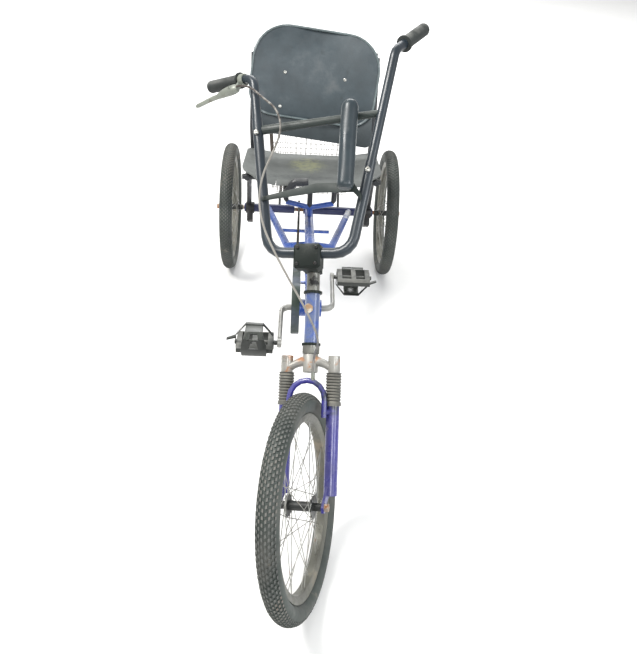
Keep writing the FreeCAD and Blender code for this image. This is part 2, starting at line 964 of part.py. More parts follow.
def frame_tubes():
    head = rod(on_axis(0, 0, head_tube_start), on_axis(0, 0, head_tube_end), tube_diameter)
    nose = on_axis(0, 0, backbone_start)
    backbone = rod(nose, rear_axle, tube_diameter)
    hanger = rod(crank_centre, backbone_at(crank_centre.y), hanger_diameter)
    shell = rod(
        crank_centre + point(-shell_half_width, 0, 0),
        crank_centre + point(shell_half_width, 0, 0),
        shell_diameter,
    )
    slope = (rear_axle.z - crank_centre.z) / (rear_axle.y - crank_centre.y)
    bend_height = crank_centre.z + slope * (stay_bend_y - crank_centre.y)
    nose_height = backbone_at(stay_nose_y).z - stay_nose_drop
    stays = bent_rod([
        point(-stay_rear_x, wheelbase, wheel_radius),
        point(-stay_front_x, stay_bend_y, bend_height),
        point(0, stay_nose_y, nose_height),
        point(stay_front_x, stay_bend_y, bend_height),
        point(stay_rear_x, wheelbase, wheel_radius),
    ], stay_bend_radius * half_share, stay_diameter)
    yoke_root = backbone_at(yoke_y)
    apex = point(0, yoke_y, yoke_base_height)
    pieces = [head, backbone, hanger, shell, stays, rod(yoke_root, apex, yoke_diameter)]
    arms = [point(side * yoke_arm_x, yoke_y, yoke_arm_height) for side in (-1, 1)]
    pieces.append(tube([arms[0], apex, arms[1]], yoke_diameter, tube_sides))
    idler_height = bend_height + slope * (idler_rod_y - stay_bend_y)
    along_share = (idler_rod_y - stay_bend_y) / (wheelbase - stay_bend_y)
    idler_foot_x = stay_front_x + (stay_rear_x - stay_front_x) * along_share
    pieces.append(rod(
        point(-idler_foot_x, idler_rod_y, idler_height),
        point(idler_rod_reach, idler_rod_y, idler_height),
        idler_rod_diameter,
    ))
    for y in (crank_centre.y + hanger_diameter, guard_rear - hanger_diameter):
        pieces.append(guard_tab(y))
    body = fuse_all(pieces)
    steerer_hole = pin(
        on_axis(0, 0, head_tube_start - head_cup_height),
        on_axis(0, 0, stack_end),
        steerer_diameter + seat_gap / half_share,
    )
    stack_room = pin(
        on_axis(0, 0, head_tube_end),
        on_axis(0, 0, stack_end),
        upper_stack_diameter + seat_gap / half_share,
    )
    shell_hole = pin(
        crank_centre + point(-cup_half_width, 0, 0),
        crank_centre + point(cup_half_width, 0, 0),
        spindle_diameter + running_fit / half_share,
    )
    cross = rod(
        rear_axle + point(-cross_tube_half_length, 0, 0),
        rear_axle + point(cross_tube_half_length, 0, 0),
        tube_diameter + seat_gap / half_share,
    )
    return body.cut(steerer_hole).cut(stack_room).cut(shell_hole).cut(cross)


def headset():
    low = rod(on_axis(0, 0, axle_to_crown + seat_gap),
              on_axis(0, 0, head_tube_start - running_fit), head_cup_diameter)
    high = rod(on_axis(0, 0, head_tube_end + running_fit),
               on_axis(0, 0, stack_end), upper_stack_diameter)
    hole = pin(
        on_axis(0, 0, axle_to_crown),
        on_axis(0, 0, stack_end + steerer_stub),
        steerer_diameter + running_fit / half_share,
    )
    return Part.makeCompound([low.cut(hole), high.cut(hole)])


def cross_tube():
    pieces = []
    spans = [(-cross_tube_half_length, shaft_gap_right), (shaft_gap_left, cross_tube_half_length)]
    for low, high in spans:
        length = rod(rear_axle + point(low, 0, 0), rear_axle + point(high, 0, 0), tube_diameter)
        hole = pin(
            rear_axle + point(low - seat_gap, 0, 0),
            rear_axle + point(high + seat_gap, 0, 0),
            (rear_axle_radius + running_fit) / half_share,
        )
        pieces.append(length.cut(hole))
    return Part.makeCompound(pieces)


def wheel_carrier(side):
    inner = rear_axle + point(side * carrier_inner, 0, 0)
    outer = rear_axle + point(side * carrier_outer, 0, 0)
    ring = rod(inner, outer, carrier_diameter)
    lug_x = side * (carrier_inner + (carrier_outer - carrier_inner - carrier_lug_thickness) * half_share)
    lug_corners = [
        rear_axle + point(lug_x, -carrier_half_width, 0),
        rear_axle + point(lug_x, carrier_half_width * half_share, 0),
        rear_axle + point(lug_x, 0, -carrier_drop),
        rear_axle + point(lug_x, -carrier_half_width / half_share, -carrier_drop * half_share),
    ]
    lug = slab(lug_corners, point(side * carrier_lug_thickness, 0, 0))
    hole = rod(
        inner - point(side, 0, 0) * carrier_half_width,
        outer + point(side, 0, 0) * carrier_half_width,
        tube_diameter + seat_gap / half_share,
    )
    return fuse_all([ring, lug]).cut(hole)


def drive_shaft():
    outer = -half_track - hub_half_width - nut_thickness - seat_gap
    inner = shaft_gap_left - seat_gap
    shaft = pin(rear_axle + point(outer, 0, 0), rear_axle + point(inner, 0, 0), rear_axle_radius / half_share)
    nut_face = rear_axle + point(-half_track - hub_half_width - seat_gap, 0, 0)
    nut = hex_nut(nut_face, -1)
    sprocket = toothed_disc(sprocket_teeth, ring_thickness)
    sprocket.translate(rear_axle + point(chain_line, 0, 0))
    return fuse_all([shaft, nut, sprocket])


def stub_axle():
    outer = half_track + hub_half_width + nut_thickness + seat_gap
    inner = cross_tube_half_length - carrier_drop
    shaft = pin(rear_axle + point(inner, 0, 0), rear_axle + point(outer, 0, 0), rear_axle_radius / half_share)
    nut_face = rear_axle + point(half_track + hub_half_width + seat_gap, 0, 0)
    nut = hex_nut(nut_face, 1)
    return fuse_all([shaft, nut])


# Chain drive
def pitch_radius(teeth):
    return chain_pitch * half_share / math.sin(math.pi / teeth)


def toothed_disc(teeth, thickness):
    valley = pitch_radius(teeth) - tooth_height
    tip = pitch_radius(teeth) + tooth_height * half_share
    corners = []
    step = whole_turn / teeth
    quarter_share = half_share * half_share
    for tooth in range(teeth):
        for share, radius in ((0, valley), (quarter_share, valley), (half_share, tip), (half_share + quarter_share * half_share, tip)):
            angle = radians(step * (tooth + share))
            corners.append(point(-thickness * half_share, radius * math.cos(angle), radius * math.sin(angle)))
    return slab(corners, point(thickness, 0, 0))


def upper_run_height(y):
    front = pitch_radius(ring_teeth)
    rear = pitch_radius(sprocket_teeth)
    run = rear_axle - crank_centre
    distance = math.hypot(run.y, run.z)
    lean = math.asin((front - rear) / distance)
    angle = math.atan2(run.z, run.y) - lean
    start_y = crank_centre.y - front * math.sin(angle)
    start_z = crank_centre.z + front * math.cos(angle)
    return start_z + (y - start_y) * math.tan(angle)


def loop_face(offset):
    front = pitch_radius(ring_teeth) + offset
    rear = pitch_radius(sprocket_teeth) + offset
    run = rear_axle - point(crank_centre.x, crank_centre.y, crank_centre.z)
    distance = math.hypot(run.y, run.z)
    along_run = point(0, run.y / distance, run.z / distance)
    across = point(0, -along_run.z, along_run.y)
    lean = math.asin((front - rear) / distance)
    up = along_run * math.sin(lean) + across * math.cos(lean)
    down = along_run * math.sin(lean) - across * math.cos(lean)
    front_centre = point(0, crank_centre.y, crank_centre.z)
    rear_centre = point(0, rear_axle.y, rear_axle.z)
    front_up = front_centre + up * front
    front_down = front_centre + down * front
    rear_up = rear_centre + up * rear
    rear_down = rear_centre + down * rear
    edges = [
        Part.LineSegment(front_up, rear_up).toShape(),
        Part.Arc(rear_up, rear_centre + along_run * rear, rear_down).toShape(),
        Part.LineSegment(rear_down, front_down).toShape(),
        Part.Arc(front_down, front_centre - along_run * front, front_up).toShape(),
    ]
    return Part.Face(Part.Wire(edges))


def loop_band(inner_offset, outer_offset, x, width):
    outer = loop_face(outer_offset).extrude(point(width, 0, 0))
    inner = loop_face(inner_offset).extrude(point(width, 0, 0))
    band = outer.cut(inner)
    band.translate(point(x, 0, 0))
    return band


# Places on the chain's pitch line, with the way out of the loop at each
def loop_places():
    front = pitch_radius(ring_teeth)
    rear = pitch_radius(sprocket_teeth)
    run = point(0, rear_axle.y - crank_centre.y, rear_axle.z - crank_centre.z)
    distance = run.Length
    along_run = run * (1 / distance)
    across = point(0, -along_run.z, along_run.y)
    lean = math.asin((front - rear) / distance)
    up = along_run * math.sin(lean) + across * math.cos(lean)
    down = along_run * math.sin(lean) - across * math.cos(lean)
    straight = distance * math.cos(lean)
    there = (rear_axle + up * rear - crank_centre - up * front).normalize()
    back = (crank_centre + down * front - rear_axle - down * rear).normalize()
    rear_arc = rear * (math.pi - lean / half_share)
    front_arc = front * (math.pi + lean / half_share)
    total = straight / half_share + rear_arc + front_arc
    links = round(total / chain_pitch)
    places = []
    for number in range(links):
        for share in (0, half_share):
            reach = total * (number + share) / links
            if reach < straight:
                places.append((crank_centre + up * front + there * reach, up, share))
            elif reach < straight + rear_arc:
                angle = (reach - straight) / rear
                out = up * math.cos(angle) + there * math.sin(angle)
                places.append((rear_axle + out * rear, out, share))
            elif reach < straight / half_share + rear_arc:
                start = rear_axle + down * rear
                places.append((start + back * (reach - straight - rear_arc), down, share))
            else:
                angle = (reach - straight / half_share - rear_arc) / front
                out = down * math.cos(angle) + back * math.sin(angle)
                places.append((crank_centre + out * front, out, share))
    return places


def chain():
    outer = []
    inner = []
    for place, out, share in loop_places():
        height = chain_half_height * (link_waist_share if share else 1)
        outer.append(place + out * height)
        inner.append(place - out * height)
    wires = [Part.makePolygon(corners + [corners[0]]) for corners in (outer, inner)]
    face = Part.makeFace(wires, "Part::FaceMakerBullseye")
    loop = face.extrude(point(chain_width, 0, 0))
    loop.translate(point(chain_line - chain_width * half_share, 0, 0))
    for teeth, centre in ((ring_teeth, crank_centre), (sprocket_teeth, rear_axle)):
        radius = pitch_radius(teeth) + tooth_height
        middle = point(chain_line, centre.y, centre.z)
        slot = point(chain_slot * half_share, 0, 0)
        loop = loop.cut(rod(middle - slot, middle + slot, radius / half_share))
    return loop


def chain_guard():
    x = chain_line - guard_width * half_share
    shell = loop_band(guard_offset - guard_flange_depth, guard_offset, x, guard_width)
    hollow = loop_band(
        -guard_offset / half_share,
        guard_offset - guard_skin,
        x + guard_skin * half_share,
        guard_width - guard_skin,
    )
    guard = shell.cut(hollow)
    big = wheelbase
    rear_block = Part.makeBox(big, big, big, point(-big * half_share, guard_rear, 0))
    lower = Part.makeBox(big, big, big, point(-big * half_share, crank_centre.y, 0))
    run = rear_axle - crank_centre
    slope = math.atan2(run.z, run.y)
    lower.translate(point(0, 0, crank_centre.z - big))
    lower.rotate(crank_centre, point(1, 0, 0), math.degrees(slope))
    under = slab([
        point(-big * half_share, crank_centre.y, crank_centre.z),
        point(-big * half_share, crank_centre.y + big * half_share, crank_centre.z - big * half_share),
        point(-big * half_share, crank_centre.y - big * math.cos(radians(guard_under_angle)),
              crank_centre.z - big * math.sin(radians(guard_under_angle))),
    ], point(big, 0, 0))
    guard = guard.cut(rear_block).cut(lower).cut(under)
    return guard


def crank_way(side):
    reach = side * crank_length
    return point(0, reach * math.cos(radians(crank_rise_angle)), reach * math.sin(radians(crank_rise_angle)))


def arm_inner(side):
    return left_arm_inner if side > 0 else right_arm_inner


def crank():
    spindle = pin(
        crank_centre - point(right_arm_inner, 0, 0),
        crank_centre + point(left_arm_inner, 0, 0),
        spindle_diameter,
    )
    pieces = [spindle]
    for side in (-1, 1):
        inner = crank_centre + point(side * arm_inner(side), 0, 0)
        thickness = point(side * crank_arm_thickness, 0, 0)
        tip = inner + crank_way(side)
        half = crank_arm_width * half_share
        tip_half = crank_tip_width * half_share
        arm = slab([
            inner + point(0, 0, half),
            inner - point(0, 0, half),
            tip - point(0, 0, tip_half),
            tip + point(0, 0, tip_half),
        ], thickness)
        pieces.append(arm)
        pieces.append(rod(inner, inner + thickness, crank_boss_diameter))
        pieces.append(rod(tip, tip + thickness, crank_tip_width))
    solid = fuse_all(pieces)
    for side in (-1, 1):
        tip = crank_centre + point(side * arm_inner(side), 0, 0) + crank_way(side)
        hole = pin(
            tip - point(side * crank_arm_thickness, 0, 0),
            tip + point(side * crank_arm_thickness / half_share, 0, 0),
            pedal_axle_diameter + running_fit / half_share,
        )
        solid = solid.cut(hole)
    return solid


def chainring():
    disc = toothed_disc(ring_teeth, ring_thickness)
    hole = rod(point(-ring_thickness, 0, 0), point(ring_thickness, 0, 0), spindle_diameter + seat_gap / half_share / half_share)
    disc = disc.cut(hole)
    step = radians(whole_turn / ring_arms)
    for number in range(ring_arms):
        corners = []
        for radius, turn_share in ((ring_window_inner, -ring_window_share), (ring_window_outer, -ring_window_share),
                                   (ring_window_outer, 0), (ring_window_outer, ring_window_share),
                                   (ring_window_inner, ring_window_share)):
            angle = step * (number + turn_share)
            corners.append(point(-ring_thickness, radius * math.cos(angle), radius * math.sin(angle)))
        disc = disc.cut(slab(corners, point(ring_thickness / half_share, 0, 0)))
    disc.translate(crank_centre + point(chain_line, 0, 0))
    return disc


def pedal_centre(side):
    return crank_centre + crank_way(side)


def pedal_start(side):
    return side * (arm_inner(side) + crank_arm_thickness + pedal_arm_gap)


def pedal(side):
    centre = pedal_centre(side)
    inner = pedal_start(side)
    axle_start = centre + point(side * arm_inner(side), 0, 0)
    axle_end = centre + point(inner + side * (pedal_width + pedal_axle_tail), 0, 0)
    axle = pin(axle_start, axle_end, pedal_axle_diameter)
    half_length = pedal_length * half_share
    half_height = pedal_height * half_share
    block = slab([
        centre + point(inner, -half_length, -half_height * half_share),
        centre + point(inner, -half_length + half_height, -half_height),
        centre + point(inner, half_length - half_height, -half_height),
        centre + point(inner, half_length, -half_height * half_share),
        centre + point(inner, half_length, half_height * half_share),
        centre + point(inner, half_length - half_height, half_height),
        centre + point(inner, -half_length + half_height, half_height),
        centre + point(inner, -half_length, half_height * half_share),
    ], point(side * pedal_width, 0, 0))
    side_bar = (pedal_width - pedal_window_width / half_share) / pedal_window_bars
    for number in range(pedal_window_bars - 1):
        start = inner + side * (side_bar + number * (side_bar + pedal_window_width))
        half_window = pedal_window_length * half_share
        window = slab([
            centre + point(start, -half_window, -pedal_height),
            centre + point(start, half_window, -pedal_height),
            centre + point(start, half_window, pedal_height),
            centre + point(start, -half_window, pedal_height),
        ], point(side * pedal_window_width, 0, 0))
        block = block.cut(window)
    return fuse_all([block, axle])


# Toe clips, built for a pedal at the origin with the toe towards -y, x from its middle
def clip_plate():
    foot = -pedal_length * half_share - seat_gap
    front = foot - clip_reach
    low = -pedal_height * half_share * half_share
    bend = low + clip_reach
    shoulder = clip_height - clip_reach * half_share
    skin = clip_thickness
    back = front + clip_reach * half_share + clip_top_run
    outer = [(foot, low), (foot - clip_reach * half_share, low), (front, bend), (front, shoulder),
             (front + clip_reach * half_share, clip_height), (back, clip_height)]
    inner = [(back, clip_height - skin), (front + clip_reach * half_share + skin * half_share, clip_height - skin),
             (front + skin, shoulder - skin * half_share), (front + skin, bend + skin * half_share),
             (foot - clip_reach * half_share + skin * half_share, low + skin), (foot, low + skin)]
    half = clip_width * half_share
    plate = slab([point(-half, y, z) for y, z in outer + inner], point(clip_width, 0, 0))
    half_top = clip_top_width * half_share
    reach = clip_reach + clip_top_run
    for side in (-1, 1):
        corner = slab([
            point(side * half_top, front - skin, clip_height + skin),
            point(side * (half + skin), front - skin, clip_height + skin),
            point(side * (half + skin), front - skin, clip_height - reach * half_share),
            point(side * half, front - skin, clip_height - reach * half_share),
        ], point(0, reach / half_share, 0))
        plate = plate.cut(corner)
    half_window = clip_window_width * half_share
    for base in (bend + skin, bend + skin / half_share + clip_window_height):
        window = slab([
            point(-half_window, front - skin, base),
            point(half_window, front - skin, base),
            point(half_window * half_share, front - skin, base + clip_window_height),
            point(-half_window * half_share, front - skin, base + clip_window_height),
        ], point(0, clip_reach * half_share, 0))
        plate = plate.cut(window)
    return plate


def clip_strap(side):
    half = pedal_width * half_share + seat_gap
    skin = strap_band_thickness
    low = -pedal_height * half_share * half_share
    top = clip_height + seat_gap
    half_top = clip_top_width * half_share
    knee = clip_height * half_share
    slack = pedal_arm_gap * half_share
    inside = [(-half, low), (-half, knee), (-half_top, top), (half_top, top), (half, knee), (half, low)]
    outside = [(half + skin, low), (half + skin, knee), (half_top + skin, top + skin),
               (-half_top - skin, top + skin), (-half - skin, knee), (-half - skin, low)]
    start = -pedal_length * half_share + clip_top_run * half_share
    band = slab([point(x, start, z) for x, z in inside + outside], point(0, strap_band_width, 0))
    tail_side = side
    tail = slab([
        point(tail_side * half, start, knee - skin),
        point(tail_side * (half + strap_tail), start, knee - strap_tail * half_share),
        point(tail_side * (half + strap_tail), start, knee - strap_tail * half_share - skin / half_share),
        point(tail_side * half, start, knee - skin / half_share - slack),
    ], point(0, strap_band_width, 0))
    return fuse_all([band, tail])


def toe_clip(side):
    middle = pedal_start(side) + side * pedal_width * half_share
    both = Part.makeCompound([clip_plate(), clip_strap(side)])
    if side > 0:
        both.rotate(point(0, 0, 0), point(1, 0, 0), half_turn)
    both.translate(pedal_centre(side) + point(middle, 0, 0))
    return both


# Chair
def pan_mould(nose_y):
    depth = pan_rear_y - nose_y
    half = pan_width * half_share
    block = Part.makeBox(pan_width, depth, pan_width, point(-half, nose_y, pan_front_height - half))
    for edges_y, corner in ((nose_y, pan_front_corner), (pan_rear_y, pan_rear_corner)):
        uprights = []
        for edge in block.Edges:
            upright_edge = abs(edge.tangentAt(edge.FirstParameter).z) > half_share
            if upright_edge and abs(edge.CenterOfMass.y - edges_y) < pan_thickness:
                uprights.append(edge)
        block = block.makeFillet(corner, uprights)
    return block


def lip_point(front, forward, down, radius, turn):
    centre = front + down * pan_lip_radius
    return centre - down * (radius * math.cos(turn)) + forward * (radius * math.sin(turn))


def seat_pan():
    rear = point(0, pan_rear_y, pan_rear_height)
    front = point(0, pan_front_y, pan_front_height)
    forward = (front - rear).normalize()
    down = point(0, -forward.z, forward.y)
    turn = radians(pan_lip_angle)
    under = pan_lip_radius - pan_thickness
    outer = [lip_point(front, forward, down, pan_lip_radius, turn * share) for share in (0, half_share, 1)]
    inner = [lip_point(front, forward, down, under, turn * share) for share in (1, half_share, 0)]
    rear_low = rear + down * pan_thickness
    outline = Part.Wire([
        Part.LineSegment(rear, outer[0]).toShape(),
        Part.Arc(*outer).toShape(),
        Part.LineSegment(outer[-1], inner[0]).toShape(),
        Part.Arc(*inner).toShape(),
        Part.LineSegment(inner[-1], rear_low).toShape(),
        Part.LineSegment(rear_low, rear).toShape(),
    ])
    flat_half = pan_flat_width * half_share
    middle = Part.Face(outline).extrude(point(pan_flat_width, 0, 0))
    middle.translate(point(-flat_half, 0, 0))
    pieces = [middle]
    for side in (-1, 1):
        wing = Part.Face(outline).extrude(point(side * pan_flat_width, 0, 0))
        wing.rotate(rear, front - rear, side * pan_wing_angle)
        wing.translate(point(side * flat_half, 0, 0))
        pieces.append(wing)
    nose_y = outer[-1].y - pan_thickness
    return fuse_all(pieces).common(pan_mould(nose_y))


def pan_lean():
    return math.atan2(pan_rear_height - pan_front_height, pan_rear_y - pan_front_y)


def under_pan(y, depth):
    share = (y - pan_front_y) / (pan_rear_y - pan_front_y)
    top = pan_front_height + (pan_rear_height - pan_front_height) * share
    return top - depth / math.cos(pan_lean())


def upright_y(height):
    lean = math.tan(radians(back_recline_angle))
    slope_share = 1 / math.cos(radians(back_recline_angle))
    behind = back_thickness + chair_tube_diameter * half_share + seat_gap
    reach = back_curve_radius + behind
    sag = reach - math.sqrt(reach * reach - rail_x * rail_x) - behind
    return back_centre_y + (height - back_centre_height) * lean - sag * slope_share


def rail_height(y):
    return under_pan(y, pan_thickness + seat_gap + chair_tube_diameter * half_share)


def upright(side, diameter):
    x = side * rail_x
    corner_y = pan_rear_y + chair_tube_diameter * half_share + upright_gap
    return bent_rod([
        point(x, rail_front_y, rail_height(rail_front_y)),
        point(x, corner_y, rail_height(corner_y)),
        point(x, upright_y(upright_knee_height), upright_knee_height),
        point(x, upright_y(upright_top_height), upright_top_height),
    ], upright_bend_radius, diameter)


def curved_sheet(offset, thickness, outline, rise):
    reach = back_height
    inner_radius = back_curve_radius + offset
    inner = Part.makeCylinder(inner_radius, reach / half_share, point(0, -back_curve_radius, -reach))
    outer = Part.makeCylinder(inner_radius + thickness, reach / half_share, point(0, -back_curve_radius, -reach))
    mould = Part.Face(outline).extrude(point(0, back_curve_radius, 0))
    mould.translate(point(0, -back_curve_radius * half_share, rise))
    sheet = outer.cut(inner).common(mould)
    sheet.rotate(point(0, 0, 0), point(1, 0, 0), -back_recline_angle)
    sheet.translate(point(0, back_centre_y, back_centre_height))
    return sheet


def back_strap(rise):
    half = strap_height * half_share
    outline = Part.makePolygon([
        point(-rail_x, 0, -half),
        point(rail_x, 0, -half),
        point(rail_x, 0, half),
        point(-rail_x, 0, half),
        point(-rail_x, 0, -half),
    ])
    return curved_sheet(back_thickness + seat_gap / half_share, strap_thickness, outline, rise)


def chair_frame():
    pieces = []
    for side in (-1, 1):
        pieces.append(upright(side, chair_tube_diameter))
        leg_top_point = point(side * rail_x, chair_leg_top_y, rail_height(chair_leg_top_y))
        leg_foot = point(side * chair_leg_foot_x, wheelbase, wheel_radius + tube_diameter * half_share)
        pieces.append(rod(leg_top_point, leg_foot, chair_tube_diameter))
    front = rail_front_y + chair_tube_diameter
    for y, reach in ((front, rail_x + rung_overhang), (yoke_y, rail_x)):
        height = rail_height(y)
        pieces.append(rod(point(-reach, y, height), point(reach, y, height), chair_tube_diameter))
    pieces.append(bent_rod([
        point(stub_foot_x, stub_foot_y, stub_low_height),
        point(stub_foot_x, stub_front_y, stub_low_height),
        point(stub_rise_x, stub_front_y, stub_rise_height),
        point(stub_tip_x, stub_front_y, stub_tip_height),
    ], stub_bend_radius, stub_diameter))
    pieces.append(back_strap(strap_rise))
    pieces.append(back_strap(strap_fall))
    body = fuse_all(pieces)
    cross = rod(
        rear_axle + point(-cross_tube_half_length, 0, 0),
        rear_axle + point(cross_tube_half_length, 0, 0),
        tube_diameter + seat_gap / half_share,
    )
    body = body.cut(cross)
    for side in (-1, 1):
        ring = rod(
            rear_axle + point(side * carrier_inner, 0, 0) - point(side * seat_gap, 0, 0),
            rear_axle + point(side * carrier_outer, 0, 0) + point(side * seat_gap, 0, 0),
            carrier_diameter + seat_gap / half_share,
        )
        body = body.cut(ring)
    return body


def seat_posts():
    rung = rail_height(yoke_y)
    posts = []
    for x, foot in ((-yoke_arm_x, yoke_arm_height), (0, yoke_base_height), (yoke_arm_x, yoke_arm_height)):
        low = point(x, yoke_y, foot)
        high = point(x, yoke_y, rung)
        post = rod(low, high, yoke_diameter)
        posts.append(post)
    tool = [rod(point(-rail_x, yoke_y, rung), point(rail_x, yoke_y, rung), chair_tube_diameter + seat_gap / half_share)]
    apex = point(0, yoke_y, yoke_base_height)
    for side in (-1, 1):
        arm = point(side * yoke_arm_x, yoke_y, yoke_arm_height)
        beyond = arm + (arm - apex).normalize() * yoke_diameter
        tool.append(rod(apex, beyond, yoke_diameter + seat_gap / half_share))
    for cutter in tool:
        posts = [post.cut(cutter) for post in posts]
    pieces = []
    for post in posts:
        solids = sorted(post.Solids, key=lambda solid: -solid.Volume)
        pieces.append(solids[0])
    return Part.makeCompound(pieces)


def backrest():
    outline = outline_wire(back_width * half_share, back_height * half_share, back_low_corner, back_top_corner)
    outline.rotate(point(0, 0, 0), point(0, 1, 0), back_tilt_angle)
    return curved_sheet(0, back_thickness, outline, 0)


def outline_wire(half_width, half_height, low_corner, top_corner):
    diagonal = 1 - math.sqrt(half_share)
    top_y = half_height
    edges = []
    corners = [
        (point(-half_width, 0, -half_height), point(1, 0, 0), point(0, 0, 1), low_corner),
        (point(half_width, 0, -half_height), point(0, 0, 1), point(-1, 0, 0), low_corner),
        (point(half_width, 0, half_height), point(-1, 0, 0), point(0, 0, -1), top_corner),
        (point(-half_width, 0, half_height), point(0, 0, -1), point(1, 0, 0), top_corner),
    ]
    previous = None
    first = None
    for corner, way_out, way_in, radius in corners:
        start = corner + way_in * radius
        end = corner + way_out * radius
        middle = corner + (way_in + way_out) * (radius * diagonal)
        if previous is not None:
            edges.append(Part.LineSegment(previous, start).toShape())
        else:
            first = start
        edges.append(Part.Arc(start, middle, end).toShape())
        previous = end
    edges.append(Part.LineSegment(previous, first).toShape())
    return Part.Wire(edges)


def back_panel():
    outline = outline_wire(panel_width * half_share, panel_height * half_share, panel_corner, panel_corner)
    outline.rotate(point(0, 0, 0), point(0, 1, 0), back_tilt_angle)
    panel = curved_sheet(back_thickness + seat_gap / half_share, panel_thickness, outline, panel_fall)
    for side in (-1, 1):
        panel = panel.cut(upright(side, chair_tube_diameter + seat_gap / half_share))
    return sorted(panel.Solids, key=lambda piece: -piece.Volume)[0]


# Basket
def basket():
    outer = tub(0)
    inner = tub(basket_wall)
    inner.translate(point(0, 0, basket_wall))
    return outer.cut(inner)


def tub(inset):
    rings = []
    for height, shrink in ((basket_bottom, basket_taper), (basket_top, 0)):
        half = basket_half_width - shrink - inset
        front = basket_front_y + inset + shrink * half_share
        rear = basket_rear_y - inset - shrink
        rings.append(Part.makePolygon([
            point(-half, front, height),
            point(half, front, height),
            point(half, rear, height),
            point(-half, rear, height),
            point(-half, front, height),
        ]))
    return Part.makeLoft(rings, True, True)


def basket_stays():
    pieces = []
    top = basket_bottom - seat_gap - basket_stay_diameter * half_share
    for side in (-1, 1):
        x = side * basket_stay_x
        pieces.append(tube([
            point(x, wheelbase, wheel_radius),
            point(x, basket_front_y + basket_taper, top),
            point(x, basket_rear_y - basket_taper / half_share, top),
        ], basket_stay_diameter, tube_sides))
    cross = rod(
        rear_axle + point(-cross_tube_half_length, 0, 0),
        rear_axle + point(cross_tube_half_length, 0, 0),
        tube_diameter + seat_gap / half_share,
    )
    return Part.makeCompound([piece.cut(cross) for piece in pieces])


contact_turn = math.atan2(along.y * math.cos(radians(rest_steer_angle)), along.z)
nodes = {}
for name, piece in wheel_pieces(wheel_axle_radius).items():
    piece = piece.copy()
    piece.rotate(point(0, 0, 0), point(1, 0, 0), math.degrees(contact_turn))
    nodes["front_" + name] = on_steering(shifted(piece, 0, -fork_offset, 0))
for name, piece in wheel_pieces(rear_axle_radius).items():
    nodes["rear_left_" + name] = shifted(piece, half_track, wheelbase, wheel_radius)
    nodes["rear_right_" + name] = shifted(piece, -half_track, wheelbase, wheel_radius)

for name, maker in (
    ("fork_crown", fork_crown),
    ("fork_bellows", bellows),
    ("fork_lowers", fork_lowers),
    ("front_axle", front_axle),
    ("stem", stem),
    ("brake_cable", brake_cable),
    ("cable_stop", cable_stop),
):
    nodes[name] = on_steering(maker())
for name, maker in (
    ("handlebar", handlebar),
    ("bar_extensions", bar_extensions),
    ("grips", grips),
    ("crossbar", crossbar),
    ("bar_band", bar_band),
    ("padded_post", padded_post),
    ("brake_lever", brake_lever),
):
    nodes[name] = on_steering(in_bar_clamp(maker()))

nodes["frame"] = frame_tubes()
nodes["headset"] = headset()
nodes["cross_tube"] = cross_tube()
nodes["wheel_carriers"] = Part.makeCompound([wheel_carrier(-1), wheel_carrier(1)])
nodes["drive_shaft"] = drive_shaft()
nodes["stub_axle"] = stub_axle()
nodes["chain"] = chain()
nodes["chain_guard"] = chain_guard()
nodes["crank"] = crank()
nodes["chainring"] = chainring()
nodes["pedal_left"] = pedal(1)
nodes["pedal_right"] = pedal(-1)
nodes["toe_clip_left"] = toe_clip(1)
nodes["toe_clip_right"] = toe_clip(-1)
nodes["seat_pan"] = seat_pan()
nodes["chair_frame"] = chair_frame()
nodes["seat_posts"] = seat_posts()
nodes["backrest"] = backrest()
nodes["back_panel"] = back_panel()
nodes["basket"] = basket()
nodes["basket_stays"] = basket_stays()

# The origin is on the floor under the middle of the whole trike
whole = Part.makeCompound(list(nodes.values())).optimalBoundingBox(False, False)
shift = point(
    -(whole.XMin + whole.XMax) * half_share,
    -(whole.YMin + whole.YMax) * half_share,
    -whole.ZMin,
)
for name, shape in nodes.items():
    shape.translate(shift)
    shape.exportStep("parts/" + name + ".step")
    print(name, "valid", shape.isValid(), "solids", len(shape.Solids), "volume", round(shape.Volume))

steered = on_steering(Part.makeLine(point(0, -fork_offset, 0), point(1, -fork_offset, 0)))
arm_foot, arm_bend, arm_way = arm_end(-1)
arm_run = (arm_bend - arm_foot).normalize()
bend_run = extension_bend_radius * math.tan(arm_run.getAngle(arm_way) * half_share)
arm_length = (arm_bend - arm_foot).Length - seat_gap - bend_run - extension_bend_lead
arm_middle = arm_foot + arm_run * (seat_gap + arm_length * half_share)
arm_line = on_steering(in_bar_clamp(Part.makeLine(arm_middle, arm_middle + arm_run)))
pan_middle_y = (pan_front_y + pan_rear_y) * half_share
places = {
    "accessory tube": arm_line.Vertexes[0].Point,
    "accessory tube way": arm_line.Vertexes[1].Point,
    "pan middle": point(0, pan_middle_y, under_pan(pan_middle_y, 0)),
    "basket floor": point(0, (basket_front_y + basket_rear_y) * half_share, basket_bottom + basket_wall),
    "steering": axis_foot,
    "steering way": axis_foot + along,
    "front hub": steered.Vertexes[0].Point,
    "front hub way": steered.Vertexes[1].Point,
    "crank": crank_centre,
    "pedal left": pedal_centre(1),
    "pedal right": pedal_centre(-1),
    "rear axle": rear_axle,
}
for name, place in places.items():
    print(name, place + shift)
print("shift", shift)
print("accessory tube length", arm_length, "pan lean", pan_lean())
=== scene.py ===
import bpy, bmesh
import json
import math
import random
from mathutils import Matrix, Vector


